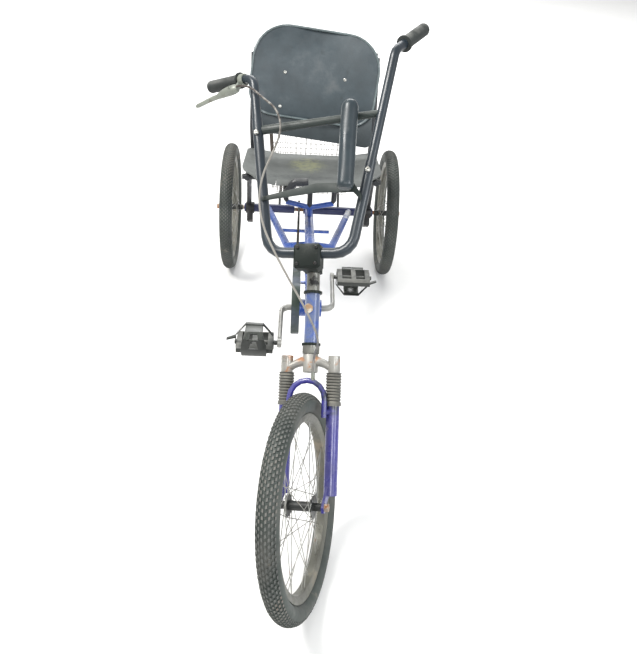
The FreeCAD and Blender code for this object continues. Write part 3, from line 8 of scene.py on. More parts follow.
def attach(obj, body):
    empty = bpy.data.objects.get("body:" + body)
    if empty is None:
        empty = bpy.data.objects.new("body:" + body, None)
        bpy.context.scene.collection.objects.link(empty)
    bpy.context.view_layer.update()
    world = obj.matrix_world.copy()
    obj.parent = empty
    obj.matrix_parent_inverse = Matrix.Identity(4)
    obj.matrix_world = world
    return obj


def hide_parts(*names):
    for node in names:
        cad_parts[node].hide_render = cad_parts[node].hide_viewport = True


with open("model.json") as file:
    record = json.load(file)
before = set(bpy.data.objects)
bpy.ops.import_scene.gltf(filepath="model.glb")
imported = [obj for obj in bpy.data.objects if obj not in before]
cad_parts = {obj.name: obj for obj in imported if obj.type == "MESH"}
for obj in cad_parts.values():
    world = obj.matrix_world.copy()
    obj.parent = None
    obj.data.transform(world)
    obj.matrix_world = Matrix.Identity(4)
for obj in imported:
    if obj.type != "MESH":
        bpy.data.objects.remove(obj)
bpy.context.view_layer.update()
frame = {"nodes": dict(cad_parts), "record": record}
nodes = frame["nodes"]

# Camera, as the photograph was taken
camera_place = (-0.042, -1.93357, 1.452)
camera_pitch, camera_yaw, camera_roll = 33.22, -2.37, -3.47
focal_pixels, picture_height = 710.3, 654

# Studio lights: name, place, target, size in metres, power in watts, tint
middle_of_trike = (0, 0, 0.4)
studio_lights = (
    ("key", (-1.7, -0.6, 3.1), middle_of_trike, 1.2, 120, (1.0, 0.98, 0.95)),
    ("fill", (2.6, -2.2, 2.2), middle_of_trike, 1.6, 62, (0.94, 0.97, 1.0)),
    ("front", (0.3, -3.4, 2.4), middle_of_trike, 1.0, 34, (1, 1, 1)),
    ("back", (0.0, 5.0, 4.2), (0, 5.5, 0), 5.0, 420, (1, 1, 1)),
)
sky_strength = 0.68
floor_half = 14.0

# Steering axis and bar clamp, as the part has them, in metres and degrees
steering_foot = (0.0, -0.799005, 0.223904)
steering_lean, steering_turn = -40.0, -17.0
hub_offset = 0.040
clamp_place, clamp_tilt = (0.0, -0.048, 0.574), 1.8
rear_axle_y, half_track = 0.770353, 0.317

# Tyres: casing, its steps across (degrees) and round, tread and knobs
wheel_radius = 0.253
tyre_radius = 0.025
tyre_clearance = 0.0003
casing_reach, casing_step, casing_steps_round = 150, 12, 120
tread_depth, sidewall_groove = 0.0026, 0.0004
tread_edge, tread_fade = 58, 14
knob_rows = (-58, -41, -25, -8.5, 8.5, 25, 41, 58)
knobs_round = 116
knob_half_angle = 5.6
knob_half_length = 0.0042
knob_root_depth, knob_top_share = 1.5, 0.8
knob_skew, knob_wear, knob_seed = 0.25, 0.0005, 7

# Bar ends: rise along the arm, turn and rise of the grip
grip_ends = {1: (0.482, 66, 42), -1: (0.436, 26, 6)}
bar_corner, bar_spread = 0.100, 0.16
grip_start, grip_length = 0.046, 0.118
grip_radius, grip_flange_radius, grip_flange = 0.0158, 0.0198, 0.0035
grip_hole_radius = 0.0113
grip_shoulder = (0.0008, 0.0040)
rib_count, rib_start, rib_rest, rib_depth = 22, 0.006, 0.014, 0.0009
rib_rise, rib_fall, rib_foot = 0.25, 0.65, 0.85
grip_end_steps = ((0.0, 0.007), (0.0012, 0.003), (0.005, 0.0004))
grip_end_hole = 0.001

# Padded post: foam in a tight cover, with a seam down one side (degrees)
post_place = (0.086, -0.03930, 0.139)
post_radius, post_length, post_tightness = 0.022, 0.190, 0.0026
post_sides, post_rows = 48, 44
post_foot_height, post_foot_inset = 0.008, 0.006
post_waves, post_swell, post_seed = 7, 0.00018, 3
post_wave_rates, post_wave_turns = (18, 60), (1, 4)
post_tip_share, post_least_reach = 0.0004, 0.0006
seam_angle, seam_width, seam_depth = 120, 5, 0.0009

# Brake cable route on the steering axis, and its real length and diameter
cable_points = [
    (-0.19682, -0.05697, 0.99214), (-0.16122, -0.07441, 0.98684), (-0.117, -0.082, 0.945),
    (-0.080, -0.085, 0.914), (-0.065, -0.086, 0.864), (-0.083, -0.084, 0.813),
    (-0.109, -0.081, 0.762), (-0.118, -0.080, 0.700), (-0.106, -0.080, 0.638),
    (-0.075, -0.078, 0.573), (-0.039, -0.070, 0.509), (-0.005, -0.055, 0.449),
    (0.023, -0.044, 0.392), (0.029, -0.040, 0.362), (0.014, -0.029, 0.337),
    (0.014, -0.026, 0.2993),
]
cable_length, cable_diameter = 0.8119, 0.005
cable_sides, cable_steps, cable_order = 4, 12, 3

# Basket: bottom and top rings of the wires
basket_half = (0.152, 0.170)
basket_front = (0.81935, 0.81035)
basket_rear = (1.05735, 1.07535)
basket_heights = (0.305, 0.580)
wire_radius, rim_wire_radius = 0.00095, 0.0036
wire_pitch = 0.0215
wired_share = 0.55
bent_wires, bent_amount, straight_amount = (6, 9, 10), 0.0028, 0.0005
wire_bends, wire_inset, basket_seed = 3, 1.2, 11
rim_corner, rim_corner_steps = 0.02, 4

# Brake lever: where its clamp sits on the bend, its lean, and its oval stations
# (reach along the bar, depth below it, half depth, half width)
lever_place, lever_lean, lever_shift, lever_neck_share = 0.0377, 0.35, 0.009, 0.5
lever_body = (
    (-0.0080, 0.0350, 0.0060, 0.0060), (-0.0060, 0.0350, 0.0085, 0.0085),
    (0.004, 0.0350, 0.0125, 0.0110), (0.020, 0.0370, 0.0130, 0.0115),
    (0.038, 0.0405, 0.0110, 0.0105), (0.052, 0.0450, 0.0085, 0.0085),
    (0.060, 0.0485, 0.0055, 0.0065),
)
lever_blade = (
    (0.030, 0.0430, 0.0060, 0.0050), (0.056, 0.0480, 0.0066, 0.0060),
    (0.076, 0.0510, 0.0064, 0.0062), (0.096, 0.0560, 0.0058, 0.0060),
    (0.114, 0.0620, 0.0052, 0.0058), (0.127, 0.0655, 0.0052, 0.0058),
    (0.133, 0.0668, 0.0036, 0.0040),
)
lever_neck = (
    (0.000, 0.0125, 0.0020, 0.0070), (0.001, 0.0160, 0.0060, 0.0075),
    (0.004, 0.0240, 0.0070, 0.0080), (0.006, 0.0320, 0.0070, 0.0080),
)
lever_band_half, lever_band_inner, lever_band_outer = 0.0075, 0.0114, 0.0150
lever_screw_depth, lever_screw_front, lever_screw_reach = 0.037, 0.0105, 0.012
lever_screw_size = (0.0042, 0.003)
ring_edge = 0.001

# Fork crown: boss and leg tops (radius, height), arms (x, height, half tall, half deep)
leg_x = 0.057
crown_boss = (
    (0.0125, 0.300), (0.0165, 0.300), (0.0178, 0.3015), (0.0180, 0.3420),
    (0.0168, 0.3438), (0.0127, 0.3438),
)
crown_leg = (
    (0.0128, 0.2960), (0.0140, 0.2985), (0.0140, 0.3384), (0.0130, 0.3394), (0.0010, 0.3398),
)
crown_arm = (
    (0.010, 0.3280, 0.0120, 0.0125), (0.022, 0.3255, 0.0115, 0.0120),
    (0.034, 0.3210, 0.0105, 0.0112), (0.048, 0.3130, 0.0110, 0.0112),
)

# Head tube: its two collars, and the cable clip round a part of it (degrees)
collar_heights = (0.3660, 0.4890)
collar_inner, collar_outer, collar_half, collar_edge = 0.0150, 0.0222, 0.0030, 0.0008
clip_middle, clip_half, clip_inner, clip_outer = 0.449, 0.012, 0.0172, 0.0192
clip_start, clip_sweep, clip_steps = -165, 75, 8
clip_end_share, clip_lift, clip_lift_rate = 0.45, 0.0012, 1.7

# Crank: arms that bend out of the spindle, and the pedal eyes at their ends
crank_place, crank_rise, crank_reach = (0, -0.295647, 0.439), 6, 0.150
crank_arms = {1: 0.0615, -1: -0.0775}
spindle_radius, spindle_half, arm_start = 0.0085, 0.036, 0.0345
arm_bend, arm_bend_steps = 0.022, 4
arm_thinning, arm_widening, arm_half_thick = 0.0023, 0.0020, 0.0058
arm_stations = ((0.080, 0.0095), (0.132, 0.0085), (0.140, 0.0098))
eye_half, eye_hole, eye_outer = 0.0055, 0.0061, 0.0118

# Backrest shell: bend, recline and place; outline of its rolled rim (degrees)
back_bend, back_recline = 0.620, -18
back_place = (0, 0.735353, 0.796)
rim_half_width, rim_half_height = 0.2265, 0.1565
rim_top_corner, rim_low_corner, rim_tilt = 0.125, 0.085, -6
rim_steps, rim_inset, rim_radius = 10, 0.0012, 0.0042

# Screws: places on the backrest (across, rise), the stem and the bar arms (side, rise, out)
back_screws = ((-0.109, 0.008), (0.110, -0.009), (-0.124, -0.111), (0.192, -0.1246))
back_screw_size, back_screw_inset = (0.0062, 0.003), 0.0002
stem_face, stem_middle = -0.0682, 0.5643
stem_bolt_across, stem_bolt_rise, stem_bolt_size = 0.022, 0.019, (0.0040, 0.0035)
bar_bolts = ((-1, 0.291, 0.0128), (1, 0.192, 0.0126))
bar_bolt_size = (0.0062, 0.0065)
screw_head = ((1, 0), (1, 0.45), (0.86, 0.85), (0.6, 1), (0.5, 1), (0.42, 0.45))

# Sides of round forms, by their size
wire_sides, rim_sides, screw_sides, oval_sides = 6, 10, 18, 20
spindle_sides, turned_sides, collar_sides = 24, 32, 40

# Edges: doubled points, creases (degrees) and the round on worked edges
doubled_gap = 0.00001
part_crease, piece_crease, round_crease = 35, 38, 40
edge_radius, edge_steps = 0.0007, 2


def turn(angle, axis):
    return Matrix.Rotation(math.radians(angle), 4, axis)


head_axis = Matrix.Translation(steering_foot) @ turn(steering_lean, "X")
steering = head_axis @ turn(steering_turn, "Z")
clamp = steering @ Matrix.Translation(clamp_place) @ turn(clamp_tilt, "Y")
wheels = {
    "front": steering @ Matrix.Translation((0, -hub_offset, 0)),
    "rear_left": Matrix.Translation((half_track, rear_axle_y, wheel_radius)),
    "rear_right": Matrix.Translation((-half_track, rear_axle_y, wheel_radius)),
}


def link(piece):
    bpy.context.scene.collection.objects.link(piece)
    return piece


def set_camera():
    data = bpy.data.cameras.new("camera")
    camera = link(bpy.data.objects.new("camera", data))
    look = turn(camera_yaw, "Z") @ turn(-camera_pitch, "X")
    look = look @ turn(camera_roll, "Y") @ turn(90, "X")
    camera.matrix_world = Matrix.Translation(camera_place) @ look
    data.lens = focal_pixels * data.sensor_width / picture_height
    bpy.context.scene.camera = camera


def area_light(name, place, target, size, power, tint):
    data = bpy.data.lights.new(name, "AREA")
    data.shape = "DISK"
    data.size = size
    data.energy = power
    data.color = tint
    light = link(bpy.data.objects.new(name, data))
    way = Vector(target) - Vector(place)
    turned = way.to_track_quat("-Z", "Y").to_matrix().to_4x4()
    light.matrix_world = Matrix.Translation(place) @ turned


def set_lights():
    for values in studio_lights:
        area_light(*values)
    world = bpy.data.worlds.new("studio")
    world.use_nodes = True
    background = world.node_tree.nodes["Background"]
    background.inputs["Color"].default_value = (1, 1, 1, 1)
    background.inputs["Strength"].default_value = sky_strength
    bpy.context.scene.world = world
    bpy.context.scene.view_settings.view_transform = "Standard"


# Material building blocks
tone_scale, tone_band = 9, (0.3, 0.7)
gloss_scale, gloss_band = 24, (0.25, 0.75)
dust_scale, dust_band, dust_slope = 30, (0.3, 0.7), (0.3, 0.9)
# Spots: stains and rust at some places, painted shade and painted highlight at others
tear_scale, tear_band, stain_and_painted_light_band = 60, (0.2, 0.75), (0.05, 0.5)
plain_detail, fine_detail, patch_detail, grain_detail = 4.0, 6, 8, 3
noise_roughness, grain_strength = 0.6, 0.6


def add_node(material, kind, **values):
    node = material.node_tree.nodes.new(kind)
    for name, value in values.items():
        node.inputs[name.replace("_", " ")].default_value = value
    return node


def join(material, source, target):
    material.node_tree.links.new(source, target)


def noise(material, scale, detail=plain_detail):
    node = add_node(material, "ShaderNodeTexNoise", Scale=scale, Detail=detail, Roughness=noise_roughness)
    place = add_node(material, "ShaderNodeTexCoord")
    join(material, place.outputs["Object"], node.inputs["Vector"])
    return node.outputs["Fac"]


def ramp(material, source, low, high, start=0.0, end=1.0):
    node = add_node(material, "ShaderNodeMapRange", From_Min=low, From_Max=high, To_Min=start, To_Max=end)
    node.interpolation_type = "SMOOTHSTEP"
    join(material, source, node.inputs["Value"])
    return node.outputs["Result"]


def maths(material, operation, first, second):
    node = material.node_tree.nodes.new("ShaderNodeMath")
    node.operation = operation
    for socket, value in zip(node.inputs, (first, second)):
        if isinstance(value, (int, float)):
            socket.default_value = value
        else:
            join(material, value, socket)
    return node.outputs["Value"]


def mixed(material, share, first, second):
    node = material.node_tree.nodes.new("ShaderNodeMix")
    node.data_type = "RGBA"
    join(material, share, node.inputs["Factor"])
    for socket, colour in ((node.inputs["A"], first), (node.inputs["B"], second)):
        if isinstance(colour, tuple):
            socket.default_value = colour + (1,)
        else:
            join(material, colour, socket)
    return node.outputs["Result"]


def facing_up(material):
    geometry = add_node(material, "ShaderNodeNewGeometry")
    split = add_node(material, "ShaderNodeSeparateXYZ")
    join(material, geometry.outputs["Normal"], split.inputs["Vector"])
    return ramp(material, split.outputs["Z"], *dust_slope)


def spot(material, place, reach):
    """A patch with torn edges at one place, fading out at its reach; the looks use it for stains and rust
    at some places, and for painted shade and painted highlight at others.
    """
    centre = add_node(material, "ShaderNodeTexCoord")
    scale = [1 / size for size in reach]
    shifted = [-part / size for part, size in zip(place, reach)]
    mapping = add_node(material, "ShaderNodeMapping", Location=shifted, Scale=scale)
    ball = material.node_tree.nodes.new("ShaderNodeTexGradient")
    ball.gradient_type = "SPHERICAL"
    join(material, centre.outputs["Object"], mapping.inputs["Vector"])
    join(material, mapping.outputs["Vector"], ball.inputs["Vector"])
    tears = ramp(material, noise(material, tear_scale, fine_detail), *tear_band)
    torn = maths(material, "MULTIPLY", ball.outputs["Fac"], tears)
    return ramp(material, torn, *stain_and_painted_light_band)


def surface(name, base, roughness, metallic=0.0, patches=(), shade=0.18, grain=(700, 0.0002),
            dust=None, dust_share=0.5, rough_spread=0.12, coat=0.0, gloss=0.5, spots=()):
    """patches: (colour, noise scale, low, high, roughness) where the noise runs from low to high.
    spots: (place, reach, colour, share), a patch at one place: stains and rust, and at some places painted
    shade and painted highlight."""
    material = bpy.data.materials.new(name)
    material.use_nodes = True
    principled = material.node_tree.nodes["Principled BSDF"]
    principled.inputs["Metallic"].default_value = metallic
    principled.inputs["Coat Weight"].default_value = coat
    principled.inputs["Specular IOR Level"].default_value = gloss
    darker = tuple(part * (1 - shade) for part in base)
    lighter = tuple(min(1.0, part * (1 + shade)) for part in base)
    tone = ramp(material, noise(material, tone_scale), *tone_band)
    colour = mixed(material, tone, darker, lighter)
    smoothest, roughest = roughness - rough_spread, roughness + rough_spread
    rough = ramp(material, noise(material, gloss_scale), *gloss_band, smoothest, roughest)
    for patch_colour, scale, low, high, patch_roughness in patches:
        mask = ramp(material, noise(material, scale, patch_detail), low, high)
        colour = mixed(material, mask, colour, patch_colour)
        change = maths(material, "SUBTRACT", patch_roughness, rough)
        rough = maths(material, "ADD", rough, maths(material, "MULTIPLY", change, mask))
    if dust:
        lying = facing_up(material)
        drift = ramp(material, noise(material, dust_scale, fine_detail), *dust_band)
        settled = maths(material, "MULTIPLY", lying, drift)
        colour = mixed(material, maths(material, "MULTIPLY", settled, dust_share), colour, dust)
    for place, reach, spot_colour, share in spots:
        mask = maths(material, "MULTIPLY", spot(material, place, reach), share)
        colour = mixed(material, mask, colour, spot_colour)
    join(material, colour, principled.inputs["Base Color"])
    join(material, rough, principled.inputs["Roughness"])
    scale, depth = grain
    bump = add_node(material, "ShaderNodeBump", Strength=grain_strength, Distance=depth)
    join(material, noise(material, scale, grain_detail), bump.inputs["Height"])
    join(material, bump.outputs["Normal"], principled.inputs["Normal"])
    return material


# Looks of the rubber, paint, metal and plastic
rust = (0.20, 0.075, 0.03)
orange_rust = (0.34, 0.15, 0.06)
dry_dirt = (0.30, 0.26, 0.20)
grey_dust = (0.30, 0.30, 0.28)
looks = {}


def add_look(name, *values, **more):
    looks[name] = surface(name, *values, **more)


add_look("tyre_side", (0.036, 0.045, 0.040), 0.6, grain=(300, 0.0004), patches=[
    (dry_dirt, 26, 0.58, 0.85, 0.9),
    ((0.10, 0.10, 0.09), 8, 0.45, 0.75, 0.8),
])
add_look("tread", (0.098, 0.102, 0.096), 0.85, grain=(420, 0.0005), shade=0.3, patches=[
    ((0.15, 0.14, 0.125), 9, 0.48, 0.72, 0.95),
    ((0.21, 0.13, 0.09), 6, 0.62, 0.76, 0.95),
])
add_look("rim_metal", (0.12, 0.12, 0.10), 0.42, 0.5, shade=0.25, patches=[
    (dry_dirt, 18, 0.55, 0.8, 0.8),
    ((0.42, 0.42, 0.38), 7, 0.62, 0.72, 0.5),
])
add_look("spoke_steel", (0.26, 0.26, 0.24), 0.4, 0.7, [(rust, 60, 0.58, 0.75, 0.8)])
add_look("hub_metal", (0.022, 0.024, 0.023), 0.45, 0.2, [(dry_dirt, 40, 0.55, 0.8, 0.8)])
add_look("crown_metal", (0.31, 0.305, 0.28), 0.36, 0.3, shade=0.2, patches=[
    (orange_rust, 30, 0.56, 0.68, 0.8),
    ((0.16, 0.15, 0.13), 46, 0.56, 0.70, 0.8),
], spots=[
    ((-0.040, -0.55, 0.49), (0.035, 0.09, 0.05), orange_rust, 0.9),
])
add_look("boot_rubber", (0.085, 0.085, 0.076), 0.62, dust=(0.22, 0.21, 0.18), dust_share=0.7)
add_look("fork_paint", (0.036, 0.034, 0.20), 0.28, coat=0.25, patches=[
    ((0.11, 0.10, 0.14), 40, 0.62, 0.74, 0.6),
], dust=(0.25, 0.25, 0.30), dust_share=0.35, spots=[
    # painted shade: the fork paint turns near-black at the right end of the arch under the crown
    ((0.047, -0.662, 0.445), (0.055, 0.10, 0.08), (0.012, 0.018, 0.030), 1.0),
])
add_look("axle_steel", (0.30, 0.25, 0.20), 0.45, 0.7, [(orange_rust, 70, 0.42, 0.6, 0.85)])
add_look("stem_black", (0.006, 0.010, 0.008), 0.52, gloss=0.22, patches=[
    ((0.06, 0.06, 0.05), 50, 0.6, 0.8, 0.8),
])
add_look("bar_paint", (0.011, 0.018, 0.025), 0.38, coat=0.1, rough_spread=0.06, patches=[
    ((0.16, 0.15, 0.14), 90, 0.70, 0.76, 0.6),
])
add_look("grip_rubber", (0.018, 0.022, 0.021), 0.62, dust=grey_dust, dust_share=0.3)
add_look("lever_metal", (0.20, 0.215, 0.185), 0.4, 0.25, grain=(900, 0.00008), shade=0.25, patches=[
    ((0.13, 0.13, 0.10), 60, 0.56, 0.70, 0.6),
])
add_look("band_paint", (0.008, 0.015, 0.013), 0.5, dust=(0.10, 0.12, 0.10), dust_share=0.15)
add_look("post_cover", (0.018, 0.028, 0.034), 0.36, grain=(240, 0.0003), shade=0.25, patches=[
    ((0.05, 0.06, 0.065), 22, 0.55, 0.8, 0.45),
])
add_look("frame_paint", (0.020, 0.066, 0.30), 0.32, coat=0.25, patches=[
    ((0.035, 0.085, 0.34), 20, 0.5, 0.8, 0.4),
    ((0.20, 0.22, 0.30), 48, 0.70, 0.80, 0.6),
], dust=(0.30, 0.34, 0.42), dust_share=0.16, spots=[
    ((0.155, 0.72, 0.28), (0.06, 0.16, 0.09), (0.52, 0.52, 0.50), 0.9),
    # the head tube's duller grey-blue paint, made lighter in part as painted highlight
    ((0.0, -0.50, 0.57), (0.15, 0.26, 0.26), (0.085, 0.115, 0.215), 0.95),
])
add_look("headset_steel", (0.15, 0.15, 0.135), 0.42, 0.6, shade=0.35, patches=[
    (rust, 60, 0.60, 0.72, 0.85),
    ((0.03, 0.03, 0.03), 30, 0.55, 0.65, 0.6),
])
add_look("cross_paint", (0.010, 0.016, 0.075), 0.4, patches=[(dry_dirt, 24, 0.60, 0.8, 0.8)])
add_look("carrier_black", (0.014, 0.014, 0.015), 0.55, patches=[(rust, 50, 0.62, 0.74, 0.85)])
add_look("chair_black", (0.014, 0.016, 0.020), 0.42, dust=grey_dust, dust_share=0.22, patches=[
    (rust, 50, 0.68, 0.76, 0.85),
])
add_look("seat_plastic", (0.098, 0.106, 0.102), 0.72, grain=(520, 0.0007), shade=0.14, patches=[
    ((0.15, 0.16, 0.155), 7, 0.50, 0.80, 0.85),
    ((0.05, 0.055, 0.055), 20, 0.62, 0.80, 0.6),
], spots=[
    ((-0.015, 0.53, 0.53), (0.09, 0.13, 0.1), (0.26, 0.27, 0.14), 0.55),
    # darker along the front edge of the pan
    ((-0.05, 0.37, 0.54), (0.2, 0.05, 0.05), (0.045, 0.05, 0.05), 0.5),
])
add_look("back_plastic", (0.036, 0.050, 0.058), 0.42, grain=(620, 0.0005), patches=[
    ((0.085, 0.095, 0.10), 9, 0.55, 0.78, 0.55),
    ((0.02, 0.028, 0.03), 16, 0.6, 0.8, 0.5),
])
add_look("panel_plastic", (0.030, 0.040, 0.045), 0.55, grain=(520, 0.0005))
add_look("basket_wire", (0.075, 0.060, 0.048), 0.5, 0.2, [((0.24, 0.22, 0.19), 60, 0.55, 0.7, 0.5)])
add_look("guard_metal", (0.050, 0.062, 0.080), 0.42, 0.1, [
    ((0.012, 0.025, 0.016), 7, 0.45, 0.6, 0.6),
    (dry_dirt, 30, 0.64, 0.8, 0.8),
])
add_look("chain_steel", (0.030, 0.027, 0.023), 0.5, 0.4, [(rust, 60, 0.62, 0.75, 0.8)])
add_look("crank_metal", (0.22, 0.22, 0.205), 0.36, 0.35, shade=0.3, patches=[
    ((0.07, 0.07, 0.06), 44, 0.56, 0.72, 0.7),
])
add_look("ring_steel", (0.12, 0.12, 0.11), 0.4, 0.6, [(rust, 50, 0.6, 0.72, 0.8)])
add_look("pedal_plastic", (0.024, 0.027, 0.024), 0.5, dust=(0.20, 0.20, 0.18), dust_share=0.6)
add_look("clip_black", (0.013, 0.016, 0.014), 0.36, dust=(0.16, 0.17, 0.15), dust_share=0.25)
add_look("cable_cover", (0.20, 0.19, 0.17), 0.45, patches=[(dry_dirt, 60, 0.6, 0.8, 0.7)], spots=[
    # the cable turns near-black towards its upper end, and dark blue-black where it runs past the head
    # tube
    ((-0.17, -0.16, 0.98), (0.30, 0.30, 0.26), (0.03, 0.022, 0.018), 1.0),
    ((0.015, -0.52, 0.50), (0.08, 0.16, 0.11), (0.02, 0.028, 0.05), 1.0),
])
add_look("bolt_steel", (0.46, 0.46, 0.43), 0.34, 0.8, [(rust, 160, 0.6, 0.75, 0.7)])
# painted highlight: the rim is lighter than the backrest plastic, with pale streaks, for the bright line
# along its edge
add_look("back_rim_painted_highlight", (0.095, 0.12, 0.125), 0.35, patches=[((0.30, 0.33, 0.34), 14, 0.5, 0.75, 0.35)])
add_look("bolt_black", (0.03, 0.03, 0.03), 0.4, 0.5, [(rust, 160, 0.62, 0.75, 0.7)])
add_look("clip_rust", (0.34, 0.22, 0.13), 0.7, 0.2, [((0.50, 0.47, 0.40), 70, 0.45, 0.6, 0.7)])

own_looks = {"crossbar": "band_paint"}
rounded_nodes = (
    "stem", "seat_pan", "backrest", "back_panel", "chain_guard", "pedal_left", "pedal_right",
    "toe_clip_left", "toe_clip_right", "wheel_carriers", "bar_band", "chainring",
)


def paint(piece, look):
    piece.data.materials.clear()
    piece.data.materials.append(looks[look])


def dress_nodes():
    for part in frame["record"]["subparts"]:
        node = nodes[part["node"]]
        slot = part["material_slot"]
        node.data.materials.clear()
        look = "tyre_side" if slot == "tyre_rubber" else slot
        node.data.materials.append(looks[own_looks.get(part["node"], look)])
        weld = node.modifiers.new("weld", "WELD")
        weld.merge_threshold = doubled_gap
        for face in node.data.polygons:
            face.use_smooth = True
        if part["node"] in rounded_nodes:
            bevel = node.modifiers.new("bevel", "BEVEL")
            bevel.limit_method = "ANGLE"
            bevel.angle_limit = math.radians(round_crease)
            bevel.width = edge_radius
            bevel.segments = edge_steps
        split = node.modifiers.new("split", "EDGE_SPLIT")
        split.split_angle = math.radians(part_crease)


# Mesh building blocks
def facing(place, way):
    return Matrix.Translation(place) @ Vector(way).to_track_quat("Z", "Y").to_matrix().to_4x4()


def add_ring(work, matrix, radius, height, sides):
    ring = []
    for side in range(sides):
        angle = math.tau * side / sides
        place = Vector((radius * math.cos(angle), radius * math.sin(angle), height))
        ring.append(work.verts.new(matrix @ place))
    return ring


def oval(work, centre, first, second):
    ring = []
    for side in range(oval_sides):
        angle = math.tau * side / oval_sides
        ring.append(work.verts.new(centre + first * math.cos(angle) + second * math.sin(angle)))
    return ring


def bridge(work, first, second):
    count = len(first)
    for side in range(count):
        after = (side + 1) % count
        work.faces.new((first[side], first[after], second[after], second[side]))


def cap(work, rings):
    work.faces.new(list(reversed(rings[0])))
    work.faces.new(rings[-1])


def loft(work, rings, closed=False):
    """A skin over the rings: capped at its ends, or closed on itself."""
    for before, after in zip(rings, rings[1:]):
        bridge(work, before, after)
    if closed:
        bridge(work, rings[-1], rings[0])
    else:
        cap(work, rings)


def lathe(work, matrix, profile, sides, closed=False):
    """A turned form; the profile is radius and height."""
    rings = [add_ring(work, matrix, radius, height, sides) for radius, height in profile]
    loft(work, rings, closed)


def rounded_ring(inner, outer, low, high, edge):
    return [
        (inner, low), (outer - edge, low), (outer, low + edge),
        (outer, high - edge), (outer - edge, high), (inner, high),
    ]


def sweep(work, points, radius, sides, loop=False):
    """A wire of round section along the points, closed on itself if loop."""
    points = [Vector(place) for place in points]
    count = len(points)
    rings = []
    across = None
    for index, place in enumerate(points):
        before = points[index - 1] if index or loop else place
        after = points[(index + 1) % count] if index < count - 1 or loop else place
        way = (after - before).normalized()
        if across is None:
            guide = Vector((0, 0, 1)) if abs(way.z) < 0.9 else Vector((0, 1, 0))
            across = way.cross(guide)
        across = (across - way * across.dot(way)).normalized()
        other = way.cross(across)
        ring = []
        for side in range(sides):
            angle = math.tau * side / sides
            out = across * math.cos(angle) + other * math.sin(angle)
            ring.append(work.verts.new(place + out * radius))
        rings.append(ring)
    loft(work, rings, loop)


def finish_mesh(name, work, look, body, more=()):
    bmesh.ops.recalc_face_normals(work, faces=work.faces[:])
    mesh = bpy.data.meshes.new(name)
    work.to_mesh(mesh)
    work.free()
    for face in mesh.polygons:
        face.use_smooth = True
    piece = link(bpy.data.objects.new(name, mesh))
    marks = [face.material_index for face in mesh.polygons]
    paint(piece, look)
    for extra in more:
        mesh.materials.append(looks[extra])
    mesh.polygons.foreach_set("material_index", marks)
    split = piece.modifiers.new("split", "EDGE_SPLIT")
    split.split_angle = math.radians(piece_crease)
    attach(piece, body)
    return piece


def add_screw(work, matrix, size):
    radius, height = size
    profile = [(radius * across, height * up) for across, up in screw_head]
    lathe(work, matrix, profile, screw_sides)


# Tyres with knobs
def tyre_point(matrix, spin, lean, radius):
    middle = wheel_radius - tyre_radius
    out = middle + radius * math.cos(lean)
    place = Vector((radius * math.sin(lean), out * math.sin(spin), out * math.cos(spin)))
    return matrix @ place


def tyre_section_radius(lean):
    share = min(1.0, max(0.0, (abs(lean) - tread_edge) / tread_fade))
    full = tyre_radius - tyre_clearance
    return full - tread_depth + (tread_depth - sidewall_groove) * share


def add_casing(work, matrix):
    leans = list(range(-casing_reach, casing_reach + 1, casing_step))
    rings = []
    for step in range(casing_steps_round):
        spin = math.tau * step / casing_steps_round
        ring = []
        for lean in leans:
            place = tyre_point(matrix, spin, math.radians(lean), tyre_section_radius(lean))
            ring.append(work.verts.new(place))
        rings.append(ring)
    for before, after in zip(rings, rings[1:] + rings[:1]):
        for index in range(len(leans) - 1):
            work.faces.new((before[index], before[index + 1], after[index + 1], after[index]))
        work.faces.new((before[-1], before[0], after[0], after[-1]))


def add_knob(work, matrix, spin, lean, worn, skew):
    half_spin = knob_half_length / wheel_radius
    root = tyre_radius - tread_depth * knob_root_depth
    top_radius = tyre_radius - tyre_clearance - worn
    corners = []
    for radius, share in ((root, 1.0), (top_radius, knob_top_share)):
        for side_spin, side_lean in ((-1, -1), (1, -1), (1, 1), (-1, 1)):
            place_spin = spin + half_spin * share * (side_spin + skew * side_lean)
            place_lean = math.radians(lean + knob_half_angle * share * side_lean)
            corners.append(work.verts.new(tyre_point(matrix, place_spin, place_lean, radius)))
    low, top = corners[:4], corners[4:]
    bridge(work, low, top)
    work.faces.new(top).material_index = 1


def build_tyre(name, body):
    matrix = wheels[name]
    work = bmesh.new()
    add_casing(work, matrix)
    chance = random.Random(knob_seed)
    for row, lean in enumerate(knob_rows):
        for step in range(knobs_round):
            spin = math.tau * (step + 0.5 * (row % 2)) / knobs_round
            worn = chance.uniform(0, knob_wear)
            add_knob(work, matrix, spin, lean, worn, knob_skew if lean > 0 else -knob_skew)
    tyre = finish_mesh(name + "_tyre_knobbed", work, "tyre_side", body, ["tread"])
    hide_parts(name + "_tyre")


# Grips with moulded rings
def bar_point(side, along_way):
    rise, turned_out, lifted = grip_ends[side]
    bend = Vector((side * (bar_corner + rise * bar_spread), 0, rise))
    turned_out, lifted = math.radians(turned_out), math.radians(lifted)
    way = Vector((
        side * math.cos(turned_out) * math.cos(lifted),
        math.sin(turned_out) * math.cos(lifted),
        math.sin(lifted),
    ))
    return bend + way * along_way, way


